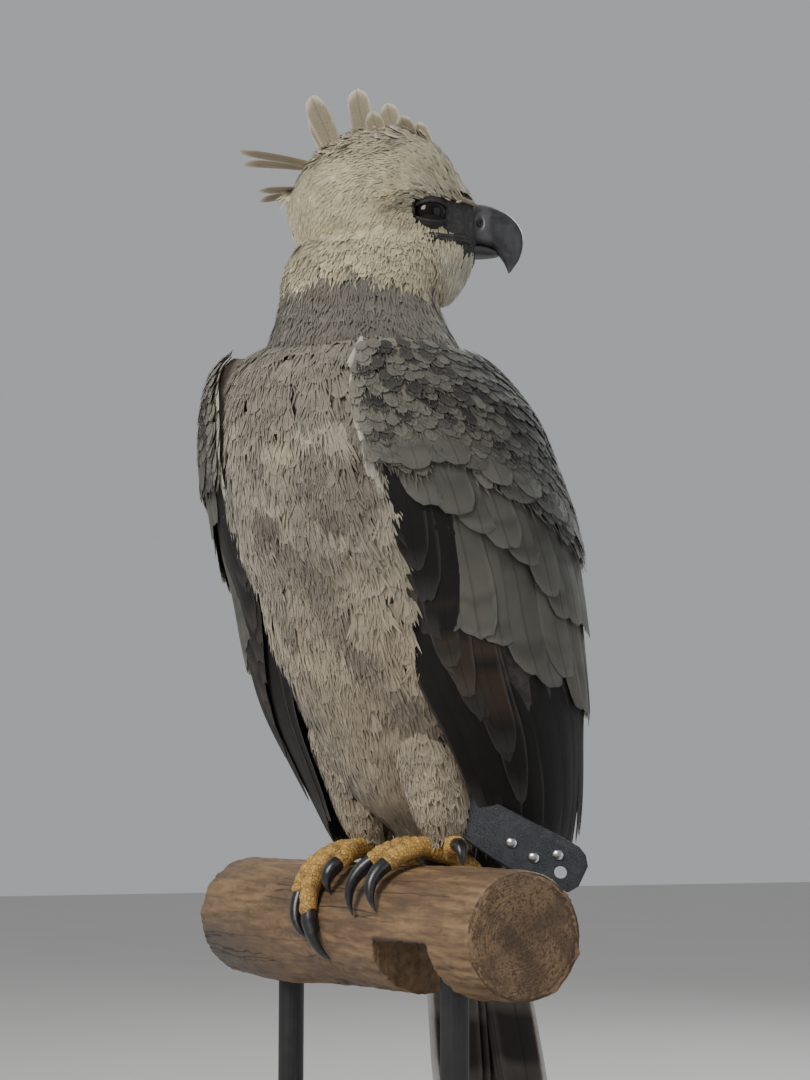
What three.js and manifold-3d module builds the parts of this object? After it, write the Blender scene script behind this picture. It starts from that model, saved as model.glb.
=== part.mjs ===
// Harpy eagle, life size, standing on a cut length of log over a plain display stand.
// Millimetres, +Z up. The origin is the middle of the stand's underside.
// Heights in the tables below are measured from the top of the log.
import * as THREE from 'three';
import Module from 'manifold-3d';

const wasm = await Module();
wasm.setup();

// Driving dimensions
const GAP = 0.4; // clear space between pieces that touch
const LOG_TOP = 372; // top of the log over the floor
const LOG_RADIUS = 54; // log under the feet
const LOG_FROM = -300; // far cut face, along X
const LOG_TO = 236; // near cut face, along X
const NOTCH_FROM = 74; // saddle notch in the log's underside
const NOTCH_TO = 169;
const NOTCH_DEPTH = 46;
const BASE_LENGTH = 440;
const BASE_WIDTH = 360;
const BASE_THICKNESS = 18;
const BASE_CORNER = 40;
const ROD_RADIUS = 12;
const ROD_PLACES = [-205, 121]; // along X
const EYE_RADIUS = 15;
const EYE = { forward: 35.5, height: 560.5, side: 33 };

// Bearings: the chest and the turned head each have a frame of their own
const CHEST = { heading: THREE.MathUtils.degToRad(-65), side: 18 };
const HEAD = { heading: THREE.MathUtils.degToRad(63), side: -39 };
const LEFT = 1;
const RIGHT = -1;

// Finishes
const finish = (color, roughness, metalness = 0) =>
  new THREE.MeshStandardMaterial({ color, roughness, metalness });
const PALE = finish(0xb3aca2, 0.85);
const GREY = finish(0x8a8580, 0.85);
const TAN = finish(0xa89a86, 0.88);
const DARK = finish(0x3a3532, 0.7);
const HORN = finish(0x2a2c2f, 0.35);
const SKIN = finish(0xb08a45, 0.6);
const GLASS = finish(0x1a120c, 0.08);
const STRAP_LEATHER = finish(0x20242c, 0.5);
const RIVET = finish(0xb8b8b4, 0.3, 1);
const BARE_WOOD = finish(0x7a5f48, 0.75);
const STAND_WOOD = finish(0x2b2420, 0.5);
const STAND_STEEL = finish(0x33363a, 0.4, 1);

// Seeded draw between -1 and 1, the same each time for the same key
const SEED = 20417;
function vary(key) {
  const drawn = Math.sin(key * 12.9898 + SEED) * 43758.5453;
  return 2 * (drawn - Math.floor(drawn)) - 1;
}

const vec = (x, y, z) => new THREE.Vector3(x, y, z);
const degrees = THREE.MathUtils.degToRad;
const mix = THREE.MathUtils.lerp;
const steps = (from, to, count) =>
  Array.from({ length: count }, (_, i) => mix(from, to, count === 1 ? 0.5 : i / (count - 1)));

// A place given forward, sideways and up in the chest's or the head's frame
function place(frame, forward, side, height) {
  const across = side + frame.side;
  const c = Math.cos(frame.heading);
  const s = Math.sin(frame.heading);
  return vec(c * forward - s * across, s * forward + c * across, LOG_TOP + height);
}

// Smooth curve through rows of [position, value, value, ...], positions rising
function profile(rows) {
  return (t) => {
    let i = 0;
    while (i < rows.length - 2 && t > rows[i + 1][0]) i += 1;
    const a = rows[i];
    const b = rows[i + 1];
    const before = rows[Math.max(i - 1, 0)];
    const after = rows[Math.min(i + 2, rows.length - 1)];
    const span = b[0] - a[0];
    const f = THREE.MathUtils.clamp((t - a[0]) / span, 0, 1);
    return a.slice(1).map((start, k) => {
      const end = b[k + 1];
      const leave = ((end - before[k + 1]) / (b[0] - before[0])) * span;
      const arrive = ((after[k + 1] - start) / (after[0] - a[0])) * span;
      const bend = 2 * start - 2 * end + leave + arrive;
      const rise = -3 * start + 3 * end - 2 * leave - arrive;
      return ((bend * f + rise) * f + leave) * f + start;
    });
  };
}

// Closed solid from shared points and triangles, faces turned outwards
function solid(points, faces) {
  let volume = 0;
  for (const [a, b, c] of faces) {
    volume += points[a].dot(points[b].clone().cross(points[c]));
  }
  const turned = volume < 0 ? faces.map(([a, b, c]) => [a, c, b]) : faces;
  return new wasm.Manifold(new wasm.Mesh({
    numProp: 3,
    vertProperties: Float32Array.from(points.flatMap((p) => [p.x, p.y, p.z])),
    triVerts: Uint32Array.from(turned.flat()),
  }));
}

// Solid through a row of rings with the same number of points, closed by a fan at each end
function loft(rings) {
  const count = rings[0].length;
  const points = rings.flat();
  const faces = [];
  for (let i = 0; i + 1 < rings.length; i += 1) {
    for (let k = 0; k < count; k += 1) {
      const a = i * count + k;
      const b = i * count + ((k + 1) % count);
      faces.push([a, b, b + count], [a, b + count, a + count]);
    }
  }
  for (const end of [0, rings.length - 1]) {
    const middle = vec(0, 0, 0);
    rings[end].forEach((p) => middle.addScaledVector(p, 1 / count));
    points.push(middle);
    for (let k = 0; k < count; k += 1) {
      const pair = [end * count + k, end * count + ((k + 1) % count)];
      if (end === 0) pair.reverse();
      faces.push([...pair, points.length - 1]);
    }
  }
  return solid(points, faces);
}

// Solid between two grids of points, split alike on both faces
function slab(upper, lower) {
  const rows = upper.length;
  const columns = upper[0].length;
  const points = [...upper.flat(), ...lower.flat()];
  const under = rows * columns;
  const faces = [];
  const wall = (a, b) => faces.push([a, b, b + under], [a, b + under, a + under]);
  for (let i = 0; i + 1 < rows; i += 1) {
    for (let k = 0; k + 1 < columns; k += 1) {
      const a = i * columns + k;
      const b = a + columns;
      faces.push([a, a + 1, b + 1], [a, b + 1, b]);
      faces.push([a + under, b + 1 + under, a + 1 + under], [a + under, b + under, b + 1 + under]);
    }
    wall(i * columns, (i + 1) * columns);
    wall((i + 2) * columns - 1, (i + 1) * columns - 1);
  }
  for (let k = 0; k + 1 < columns; k += 1) {
    wall(k + 1, k);
    wall((rows - 1) * columns + k, (rows - 1) * columns + k + 1);
  }
  return solid(points, faces.map(([a, b, c]) => [a, c, b]));
}

// Feather vane through stations of left edge, middle, right edge and outward direction:
// a flat lens in section, its two faces split alike
function vane(stations) {
  const points = [];
  for (const { left, middle, right, out, thickness } of stations) {
    points.push(left, middle.clone().addScaledVector(out, thickness / 2), right);
    points.push(middle.clone().addScaledVector(out, -thickness / 2));
  }
  const faces = [];
  for (let i = 0; i + 1 < stations.length; i += 1) {
    const [l, t, r, b] = [0, 1, 2, 3].map((k) => i * 4 + k);
    faces.push([l, t + 4, t], [l, l + 4, t + 4], [r, t, t + 4], [r, t + 4, r + 4]);
    faces.push([l, b, b + 4], [l, b + 4, l + 4], [r, b + 4, b], [r, r + 4, b + 4]);
  }
  const last = (stations.length - 1) * 4;
  faces.push([0, 1, 3], [1, 2, 3], [last, last + 3, last + 1], [last + 1, last + 3, last + 2]);
  return solid(points, faces);
}

// Widths and thicknesses of a vane along its length, as shares of the full size
const COVERT = [[0, 0.7, 1], [0.7, 1, 0.9], [0.9, 0.78, 0.6], [1, 0.28, 0.35]];
const QUILL = [[0, 0.6, 1], [0.6, 1, 0.9], [0.92, 0.8, 0.5], [1, 0.28, 0.35]];

// Vane that lies freely: along a bent line, with its own width direction and a little cup
function freeVane(path, across, width, thickness, shape, grow = 0, cup = 0.07) {
  const line = new THREE.CatmullRomCurve3(path);
  return vane(shape.map(([at, wide, thick]) => {
    const middle = line.getPoint(at);
    const along = line.getTangent(at);
    if (at === 0 || at === 1) middle.addScaledVector(along, at === 0 ? -grow : grow);
    const out = along.clone().cross(across).normalize();
    const side = out.clone().cross(along).normalize();
    const half = (width * wide) / 2 + grow;
    const drop = out.clone().multiplyScalar(-cup * width * wide);
    return {
      left: middle.clone().addScaledVector(side, -half).add(drop),
      middle,
      right: middle.clone().addScaledVector(side, half).add(drop),
      out,
      thickness: thickness * thick + 2 * grow,
    };
  }));
}

// Round-sided tube along a bent line
function tube(path, radii, sides, count, grow = 0, flatten = 1) {
  const line = new THREE.CatmullRomCurve3(path);
  const frames = line.computeFrenetFrames(count, false);
  return loft(steps(0, 1, count + 1).map((t, i) => {
    const at = t * (radii.length - 1);
    const k = Math.min(Math.floor(at), radii.length - 2);
    const radius = mix(radii[k], radii[k + 1], at - k) + grow;
    const middle = line.getPointAt(t);
    if (i === 0 || i === count) middle.addScaledVector(frames.tangents[i], i === 0 ? -grow : grow);
    return steps(0, 2 * Math.PI, sides + 1).slice(0, sides).map((angle) =>
      middle.clone()
        .addScaledVector(frames.normals[i], Math.cos(angle) * radius)
        .addScaledVector(frames.binormals[i], Math.sin(angle) * radius * flatten));
  }));
}

// Round ball, or an egg when its radii differ
function ball(centre, radii, segments = 14, rings = 9) {
  const shape = new THREE.SphereGeometry(1, segments, rings);
  const rows = [];
  for (let i = 1; i < rings; i += 1) {
    const row = [];
    for (let k = 0; k < segments; k += 1) {
      const at = new THREE.Vector3().fromBufferAttribute(shape.attributes.position, i * (segments + 1) + k);
      row.push(at.multiply(radii).add(centre));
    }
    rows.push(row);
  }
  return loft(rows);
}

const power = (x, n) => Math.sign(x) * Math.abs(x) ** (2 / n);
const join = (pieces) => wasm.Manifold.union(pieces);

// The largest closed surface of a solid
function largest(body) {
  const parts = body.decompose().map((part) => ({ part, size: part.volume() }));
  parts.sort((a, b) => b.size - a.size);
  return parts[0].part;
}

// Egg-shaped level ring of the chest's frame
function eggRing(frame, height, [centre, front, back, half], grow, sides, n = 2.15) {
  return steps(0, 2 * Math.PI, sides + 1).slice(0, sides).map((angle) => {
    const along = power(Math.cos(angle), n);
    const reach = along > 0 ? front : back;
    const side = power(Math.sin(angle), n) * (half + grow);
    return place(frame, centre + along * (reach + grow), side, height);
  });
}

// Lean of the shoulders to the bird's right, by height
const shoulderLean = profile([[300, 0], [331, -3], [374, -6], [402, -11], [424, -15], [452, -17]]);

// Torso: height, centre, reach forward, reach back, half width
const TORSO_BOTTOM = 24;
const TORSO_TOP = 452;
const torsoShape = profile([
  [24, -78, 62, 52, 50], [58, -56, 86, 84, 76], [109, -30, 94, 112, 100], [144, -16, 102, 124, 116],
  [187, -2, 108, 132, 130], [235, 10, 114, 136, 140], [262, 18, 124, 136, 144],
  [297, 28, 130, 130, 147], [358, 42, 124, 116, 144], [402, 50, 108, 100, 130],
  [436, 56, 80, 78, 100], [452, 60, 48, 48, 62],
]);

function torso(grow = 0) {
  const heights = [TORSO_BOTTOM - grow, 38, 66, 100, 140, 182, 222, 262, 300, 342, 382, 412, 436, TORSO_TOP + grow];
  return loft(heights.map((z) => {
    const frame = { ...CHEST, side: CHEST.side + shoulderLean(z)[0] };
    return eggRing(frame, z, torsoShape(z), grow, 22);
  }));
}

// Neck with the long feathers of its collar: height, centre, half length, half width
const neckShape = profile([
  [415, -22, 88, 84], [440, -22, 84, 80], [462, -24, 75, 70], [485, -25, 69, 62],
  [508, -20, 71, 54], [530, -14, 66, 48], [548, -10, 50, 38],
]);
const neckLean = profile([[415, -14], [462, -13], [508, -7], [548, 0]]);

function neck(grow = 0) {
  return loft([415, 436, 455, 474, 493, 512, 530, 548].map((z) => {
    const [centre, along, across] = neckShape(z);
    return steps(0, 2 * Math.PI, 19).slice(0, 18).map((angle) => place(
      HEAD,
      centre + Math.cos(angle) * (along + grow),
      neckLean(z)[0] + Math.sin(angle) * (across + grow),
      z,
    ));
  }));
}

// Head: forward, top, bottom, half width
const headShape = profile([
  [-86, 590, 548, 16], [-76, 606, 532, 32], [-58, 622, 518, 43], [-36, 635, 508, 50],
  [-8, 642, 500, 52], [18, 641, 494, 48], [38, 634, 490, 41], [54, 617, 491, 34],
  [66, 596, 505, 26], [77, 580, 526, 17],
]);

function headLoft(grow = 0) {
  const places = [-86 - grow, -76, -60, -36, -8, 18, 36, 50, 64, 77 + grow];
  return loft(places.map((p) => {
    const [top, bottom, half] = headShape(p);
    const middle = mix(bottom, top, 0.52);
    return steps(0, 2 * Math.PI, 19).slice(0, 18).map((angle) => {
      const up = power(Math.sin(angle), 2.1);
      const reach = up > 0 ? top - middle : middle - bottom;
      return place(HEAD, p, power(Math.cos(angle), 2.1) * (half + grow), middle + up * (reach + grow));
    });
  }));
}

const eyeCentre = (side) => place(HEAD, EYE.forward, side * EYE.side, EYE.height);
const eyeball = (side, grow = 0) => {
  const radius = EYE_RADIUS + grow;
  return ball(eyeCentre(side), vec(radius, radius, radius), 14, 9);
};

// Ring-shaped solid through sections that come back to the first one
function hoop(sections) {
  const count = sections.length;
  const around = sections[0].length;
  const faces = [];
  for (let i = 0; i < count; i += 1) {
    const next = ((i + 1) % count) * around;
    for (let k = 0; k < around; k += 1) {
      const turn = (k + 1) % around;
      faces.push([i * around + k, i * around + turn, next + turn]);
      faces.push([i * around + k, next + turn, next + k]);
    }
  }
  return solid(sections.flat(), faces);
}

// Lids: a low ring that stands on the face round the eye
function lids(side) {
  const centre = eyeCentre(side);
  return hoop(steps(0, 2 * Math.PI, 13).slice(0, 12).map((angle) => {
    const at = place(
      HEAD,
      EYE.forward + 1 + Math.cos(angle) * 13.4,
      side * (EYE.side + 10 - 2.5 * Math.cos(angle)),
      EYE.height + Math.sin(angle) * 10.8,
    );
    const away = at.clone().sub(centre).setLength(3);
    const around = place(HEAD, -Math.sin(angle), 0, Math.cos(angle)).sub(place(HEAD, 0, 0, 0));
    const out = around.cross(away).setLength(2.6);
    return [away, out, away.clone().negate(), out.clone().negate()].map((step) => at.clone().add(step));
  }));
}

// Brow: the bony ridge that shades the eye and runs out to the bill
function brow(side) {
  const line = [[2, 43, 575], [26, 43, 577], [50, 36, 576], [68, 24, 574], [78, 14, 573]];
  return tube(line.map(([p, q, z]) => place(HEAD, p, side * q, z)), [3, 6.4, 6, 4.6, 3], 6, 5, 0, 0.8);
}

// Upper bill: upper edge, lower edge and half width of each section, seen from the side
const UPPER_BILL = [
  [70, 578, 69, 539.6, 15], [84, 577, 80, 539, 15], [97, 573, 90, 537, 13.4], [109, 566, 95.5, 533, 10.8],
  [117, 555, 99.5, 528.5, 8], [119, 543, 102.5, 523.5, 5.6], [115.6, 529, 104.6, 518.5, 3.2], [108, 517, 105.6, 515.4, 1],
];
const LOWER_BILL = [
  [62, 539.4, 62, 529.5, 13], [76, 539.2, 77, 529, 12], [86, 538.4, 88, 529.4, 9.6],
  [93, 535.6, 95.4, 530.4, 6.4], [96, 533.4, 97.6, 531.6, 2.4],
];

function billLoft(sections, grow = 0) {
  return loft(sections.map(([topAlong, top, lowAlong, low, half]) => {
    const along = (topAlong + lowAlong) / 2;
    const height = (top + low) / 2;
    return steps(0, 2 * Math.PI, 13).slice(0, 12).map((angle) => {
      const up = Math.sin(angle);
      const reach = 1 + grow / 8;
      return place(
        HEAD,
        along + ((topAlong - lowAlong) / 2) * up * reach,
        Math.cos(angle) * (half * (1 - 0.25 * Math.max(up, 0)) + grow),
        height + ((top - low) / 2) * up * reach,
      );
    });
  }));
}

const nostril = (side) => ball(place(HEAD, 80, side * 15, 558), vec(3.4, 3.4, 5.4), 8, 6);

// Line of the mouth, back from the bill to under the eye
function mouthLine() {
  const rows = [[29, 539.4, 0.5], [50, 539.4, 1.1], [80, 539.2, 1.3]];
  const side = (sign) => rows.map(([p, z, half]) =>
    [-60, 60].map((q) => place(HEAD, p, q, z + sign * half)));
  return slab(side(1), side(-1)).subtract(headLoft(-3));
}

function head() {
  const sides = [LEFT, RIGHT];
  const face = join([headLoft(), ...sides.map(brow), ...sides.map(lids)]);
  const cuts = [...sides.map((side) => eyeball(side, GAP)), mouthLine(), billLoft(UPPER_BILL, GAP),
    billLoft(LOWER_BILL, GAP)];
  return largest(face.subtract(join(cuts)));
}

// Crest: root forward, root side, root height, tip forward, tip side, tip height, width, and
// how far its broad face turns to the side, in degrees
const CREST = [
  [34, 8, 634, 25, 12, 647, 16, 62], [20, 14, 635, 12, 22, 652, 18, 66], [4, 10, 638, -3, 16, 665, 20, 64],
  [-8, 18, 633, -17, 30, 655, 20, 58], [-22, 10, 636, -29, 18, 677, 24, 62], [-46, 16, 626, -67, 28, 667, 25, 56],
  [-60, 10, 624, -129, 17, 621, 20, 6], [-70, 10, 603, -115, 15, 586, 18, 6],
];

function crest() {
  const pieces = [];
  for (const side of [LEFT, RIGHT]) {
    CREST.forEach(([p0, q0, z0, p1, q1, z1, width, turn], i) => {
      const sway = side === LEFT ? 5 * vary(i) : 0;
      const root = place(HEAD, p0 + 4, side * q0 * 0.7, z0 - 14);
      const tip = place(HEAD, p1 + sway, side * q1, z1 + sway * 0.6);
      const middle = root.clone().lerp(tip, 0.5).add(vec(0, 0, 3));
      const along = tip.clone().sub(root).normalize();
      const level = place(HEAD, 0, side, 0).sub(place(HEAD, 0, 0, 0));
      const upright = along.clone().cross(level).normalize();
      const flat = upright.clone().cross(along);
      const across = flat.multiplyScalar(Math.cos(degrees(turn))).addScaledVector(upright, Math.sin(degrees(turn)));
      pieces.push(freeVane([root, middle, tip], across, width, 3.2, COVERT));
    });
  }
  pieces.push(crestRoot());
  return largest(join(pieces).subtract(headLoft(GAP)));
}

// Ridge of short feathers over the crown, in which the crest is rooted
function crestRoot() {
  const line = [[40, 624], [10, 632], [-20, 630], [-48, 617], [-70, 594], [-78, 580]];
  return tube(line.map(([p, z]) => place(HEAD, p, 0, z)), [14, 21, 24, 24, 20, 14], 9, 6);
}

// Folded wing as a curved sheet round the body's side: height, centre, half width, reach
// forward, reach back, bearing of the front edge, draw-in of the front edge, back edge
const wingTop = (side) => (side === LEFT ? 434 : 446);
const wingShape = profile([
  [-14, -74, 98, 98, 100, 62, 0.84, 144], [18, -60, 115, 112, 112, 56, 0.8, 152],
  [58, -46, 130, 122, 120, 51, 0.78, 160], [109, -27, 146, 134, 126, 45, 0.77, 165],
  [144, -16, 154, 130, 132, 37, 0.81, 166], [187, -2, 160, 120, 140, 31, 0.86, 166],
  [235, 10, 164, 122, 146, 31, 0.88, 164], [272, 20, 166, 124, 148, 30, 0.96, 161],
  [331, 35, 164, 124, 138, 30, 1.02, 155], [383, 46, 155, 116, 124, 29, 1.03, 146],
  [424, 52, 134, 102, 104, 36, 1.02, 136], [446, 55, 112, 84, 86, 42, 1, 128],
]);
// How much nearer the left wing lies to the body at the shoulder, by height
const leftDraw = profile([[272, 0], [331, 4], [383, 7], [424, 10], [446, 16]]);

// Point of the wing's outer face: share from the front edge to the back edge, height, lift
function wingPoint(side, share, height, lift = 0) {
  const [centre, half, front, back, edge, draw, rear] = wingShape(height);
  const angle = degrees(mix(edge, rear, share));
  const ease = THREE.MathUtils.smoothstep(share, -0.05, 0.32);
  const scale = mix(draw, 1, ease);
  const along = Math.cos(angle);
  const reach = ((along > 0 ? front : back) + lift) * along * scale;
  const out = half + lift - (side === LEFT ? leftDraw(height)[0] : 0);
  return place(CHEST, centre + reach, side * Math.sin(angle) * out * scale + shoulderLean(height)[0], height);
}

// Vane on the wing, hanging from its root height down to its tip height
function wingVane(side, share, from, to, width, lift, shape, slant = 0) {
  const thickness = 3.4;
  return vane(shape.map(([at, wide, thick]) => {
    const height = mix(from, to, at);
    const rise = lift * THREE.MathUtils.smoothstep(at, 0, 0.45) - 9 * (1 - THREE.MathUtils.smoothstep(at, 0, 0.3));
    const centre = share + slant * at;
    const half = (width * wide) / 2;
    const near = wingPoint(side, centre - 0.02, height, rise);
    const far = wingPoint(side, centre + 0.02, height, rise);
    const across = 0.04 / near.distanceTo(far);
    const middle = wingPoint(side, centre, height, rise);
    const out = wingPoint(side, centre, height, rise + 5).sub(middle).normalize();
    return {
      left: wingPoint(side, centre - half * across, height, rise - 0.8),
      middle,
      right: wingPoint(side, centre + half * across, height, rise - 2.2),
      out,
      thickness: thickness * thick,
    };
  }));
}

// Tiers of the wing: first and last share, count, tip heights, length, width, lift
const tierTips = {
  flight: profile([[0, 42], [0.12, 18], [0.3, 4], [0.5, 8], [0.75, 34], [1, 84]]),
  greater: profile([[0, 214], [0.25, 168], [0.45, 138], [0.7, 120], [1, 138]]),
  median: profile([[0, 300], [0.22, 268], [0.42, 212], [0.7, 194], [1, 214]]),
  lesser: profile([[0, 352], [0.25, 326], [0.5, 278], [0.75, 262], [1, 282]]),
  shoulder: profile([[0, 402], [0.3, 382], [0.6, 346], [1, 348]]),
};
const TIERS = [
  ['flight', 0.03, 0.94, 9, 205, 58, 1, QUILL],
  ['greater', 0.12, 0.94, 6, 118, 72, 4, COVERT],
  ['median', 0.12, 0.95, 6, 96, 72, 6.5, COVERT],
  ['lesser', 0.06, 0.94, 5, 84, 80, 8.5, COVERT],
  ['shoulder', 0.08, 0.9, 4, 66, 70, 9.5, COVERT],
];
// Bastard wing and primary coverts along the front edge: share, tip height, length
const FRONT_EDGE = [[0.03, 262, 90], [0.05, 196, 100], [0.06, 130, 104]];

function wing(side) {
  const top = wingTop(side);
  const heights = [70, 150, 230, 300, 360, 406, top];
  const shares = steps(0, 1, 7);
  const grid = (depth) => heights.map((z) => {
    const thin = mix(7, 22, THREE.MathUtils.smoothstep(z, 90, 330));
    return shares.map((share) => wingPoint(side, share, z, depth * (thin - (share === 0 || share === 1 ? 3 : 0))));
  });
  const pieces = [slab(grid(0), grid(-1))];
  for (const [name, first, last, count, length, width, lift, shape] of TIERS) {
    steps(first, last, count).forEach((share, i) => {
      const key = side * 100 + 10 * share + lift;
      const tip = tierTips[name](share)[0] + 4 * vary(key);
      const layer = lift - 0.9 * (i % 2);
      const from = Math.min(tip + length, top);
      pieces.push(wingVane(side, share, from, tip, width * (1 + 0.06 * vary(key + 1)), layer, shape, 0.02));
    });
  }
  for (const [share, tip, length] of FRONT_EDGE) {
    pieces.push(wingVane(side, share, tip + length, tip, 38, 5, COVERT, 0.02));
  }
  return join(pieces);
}

// Tail: twelve feathers, the middle pair outermost, with coverts over the root
const TAIL_LENGTH = 398;
const TAIL_FEATHERS = 12;

function tail(grow = 0) {
  const pieces = [];
  const spread = (share) => Math.sign(share) * Math.abs(share) ** 0.9;
  for (const share of steps(-1, 1, TAIL_FEATHERS)) {
    const layer = 3.4 * (Math.abs(share) * (TAIL_FEATHERS / 2)) + (share > 0 ? 1.7 : 0);
    const lean = spread(share);
    const tip = TAIL_LENGTH - 16 * Math.abs(share);
    const root = 1.5 * vary(share * 9);
    const at = (s, drop) => place(
      CHEST,
      -92 - 0.262 * s * tip + layer + drop + root * (1 - s),
      lean * mix(20, 46, s) - 18 * s,
      78 + 6 * vary(share * 7) * (1 - s) - 0.965 * s * tip,
    );
    const across = place(CHEST, 0.12 * lean, 1, 0).sub(place(CHEST, 0, 0, 0)).normalize();
    pieces.push(freeVane([at(0, 0), at(0.5, -3), at(1, 0)], across, 54, 3, QUILL, grow, -0.05));
  }
  for (const [depth, length, count] of [[-6, 150, 3], [26, 120, 3]]) {
    for (const share of steps(-1, 1, count)) {
      const at = (s) => place(CHEST, -96 - 0.24 * s * length + depth * (1 - 0.3 * s), share * 34 - 8 * s,
        92 - 0.97 * s * length * (1 - 0.12 * Math.abs(share)));
      const across = place(CHEST, 0, 1, 0).sub(place(CHEST, 0, 0, 0)).normalize();
      pieces.push(freeVane([at(0), at(0.5), at(1)], across, 50, 4, COVERT, grow, depth < 0 ? -0.08 : 0.08));
    }
  }
  const heart = [[-98, 92, 34], [-108, 50, 34], [-118, 12, 22]];
  pieces.push(tube(heart.map(([f, z]) => place(CHEST, f, 0, z)), [26, 26, 10], 10, 5, grow));
  return join(pieces);
}

// Feathered legs: height, forward, side, half length, half width
const LEGS = {
  left: { side: LEFT, foot: [70, 25], rows: [[20, 10, 55, 20, 17], [34, 11, 53, 27, 22], [70, 12, 47, 36, 29],
    [112, 14, 40, 44, 33], [170, 18, 40, 48, 38]] },
  right: { side: RIGHT, foot: [-45, 10], rows: [[20, -22, 53, 21, 18], [34, -20, 53, 29, 24], [70, -12, 52, 40, 34],
    [112, 2, 50, 50, 41], [170, 14, 50, 52, 44]] },
};

function leg({ side, rows }, grow = 0) {
  const shape = profile(rows);
  const heights = [rows[0][0] - grow, 26, 36, 52, 70, 90, 112, 140, 170];
  return loft(heights.map((z) => {
    const [forward, out, along, across] = shape(z);
    return steps(0, 2 * Math.PI, 15).slice(0, 14).map((angle) => place(
      CHEST,
      forward + Math.cos(angle) * (along + grow),
      side * out + Math.sin(angle) * (across + grow),
      z,
    ));
  }));
}

// Point round the log: along X, bearing from its top towards the front, distance off its bark
function roundLog(x, bearing, off) {
  const angle = degrees(bearing);
  const reach = LOG_RADIUS + off;
  return vec(x, -reach * Math.sin(angle), LOG_TOP - LOG_RADIUS + reach * Math.cos(angle));
}

// Toes: places from the sole to the claw as [x, bearing, off], then the claw's tip
const TOES = {
  left: {
    inner: [[[66, -20, 13], [57, 6, 15], [49, 24, 15], [45, 37, 14]], [45, -56, -42], [33, -64, -12]],
    middle: [[[71, -20, 13], [70, 4, 15], [70, 22, 13], [70, 37, 11]], [80, -52, -37], [68, -62, -12]],
    outer: [[[74, -20, 13], [84, -16, 15], [95, -12, 17], [104, -10, 17]], [121, 8, -2], [120, 8, 22]],
    hind: [[[69, -24, 12], [67, -46, 13], [65, -62, 11], [64, -76, 9]], [60, 52, -84], [62, 78, -62]],
  },
  right: {
    inner: [[[-40, -6, 13], [-29, 14, 14], [-20, 28, 13], [-16, 39, 12]], [-16, -48, -26], [-15, -60, -8]],
    middle: [[[-45, -4, 13], [-45, 24, 14], [-40, 56, 11], [-32, 84, 9]], [-12, -50, -82], [-27, -66, -70]],
    outer: [[[-50, -4, 13], [-57, 22, 13], [-62, 46, 11], [-62, 68, 9]], [-42, -58, -65], [-58, -72, -52]],
    hind: [[[-46, -10, 12], [-46, -38, 13], [-45, -58, 11], [-44, -74, 9]], [-40, 50, -82], [-43, 77, -60]],
  },
};

const toePath = (toe) => toe[0].map(([x, bearing, off]) => roundLog(x, bearing, off));

function toe(spec, grow = 0) {
  return tube(toePath(spec), [10.4, 9.6, 8.6, 9.2, 8, 7.4], 6, 6, grow, 0.92);
}

// Scutes: low plates across the upper side of a toe, and how many each toe has
const SCUTES = 2;

function scutes(spec, grow = 0) {
  const line = new THREE.CatmullRomCurve3(toePath(spec));
  return steps(0.4, 0.82, SCUTES).map((t) => {
    const middle = line.getPointAt(t);
    const along = line.getTangentAt(t);
    const axis = vec(middle.x, 0, LOG_TOP - LOG_RADIUS);
    const out = middle.clone().sub(axis).normalize();
    const side = out.clone().cross(along).normalize();
    const ring = (shift, width, low, high) => [[-width, low], [width, low], [width * 0.6, high], [-width * 0.6, high]]
      .map(([across, up]) => middle.clone().addScaledVector(along, shift)
        .addScaledVector(side, across).addScaledVector(out, up));
    return loft([ring(-5.6 - grow, 6.4 + grow, 3, 8.9 + grow), ring(5 + grow, 6.6 + grow, 3, 10.6 + grow)]);
  });
}

function foot(name, grow = 0) {
  const { foot: [x, y] } = LEGS[name];
  const toes = Object.values(TOES[name]);
  const { side, rows } = LEGS[name];
  const [, forward, out] = rows[0];
  const upper = place(CHEST, forward + 4, side * out, 62);
  const ankle = vec(x, y, LOG_TOP + 15);
  const shank = [upper, upper.clone().lerp(ankle, 0.5), ankle, vec(x, y - 4, LOG_TOP + 5)];
  const pieces = [tube(shank, [14, 13, 12.6, 15, 13], 9, 5, grow), ...toes.map((spec) => toe(spec, grow))];
  pieces.push(...toes.flatMap((spec) => scutes(spec, grow)));
  return join(pieces);
}

// Claw: a tapered hook from the end of a toe to its tip
function claw(spec, size) {
  const path = toePath(spec);
  const start = path[3].clone().lerp(path[2], 0.18);
  const lift = (p) => vec(p[0], p[1], p[2] + LOG_TOP);
  const bend = new THREE.QuadraticBezierCurve3(start, lift(spec[2]), lift(spec[1]));
  return tube(steps(0, 1, 5).map((t) => bend.getPoint(t)), [7.2, 7, 5.6, 3.8, 0.7].map((r) => r * size), 6, 5, 0, 0.86);
}

// Leather strap at the left leg, hanging out over the back of the log: rightwards in the
// head's bearing, sideways from it, height
const STRAP = { width: 44, thickness: 3, hole: 5, holeAt: [0.86, -5] };
const STRAP_LINE = new THREE.CatmullRomCurve3(
  [[50, -58, 50], [76, -68, 37], [103, -78, 21], [131, -86, 6], [162, -94, -9]]
    .map(([along, side, z]) => place({ heading: HEAD.heading, side: 0 }, along, side, z)),
);
const STRAP_SHAPE = [[0, 0.8], [0.2, 0.9], [0.4, 0.98], [0.6, 1], [0.78, 1], [0.9, 0.94], [0.96, 0.76], [1, 0.42]];
const RIVETS = [[0.5, -2], [0.67, -4], [0.8, 7]];
const RIVET_RADIUS = 4.6;

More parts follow.
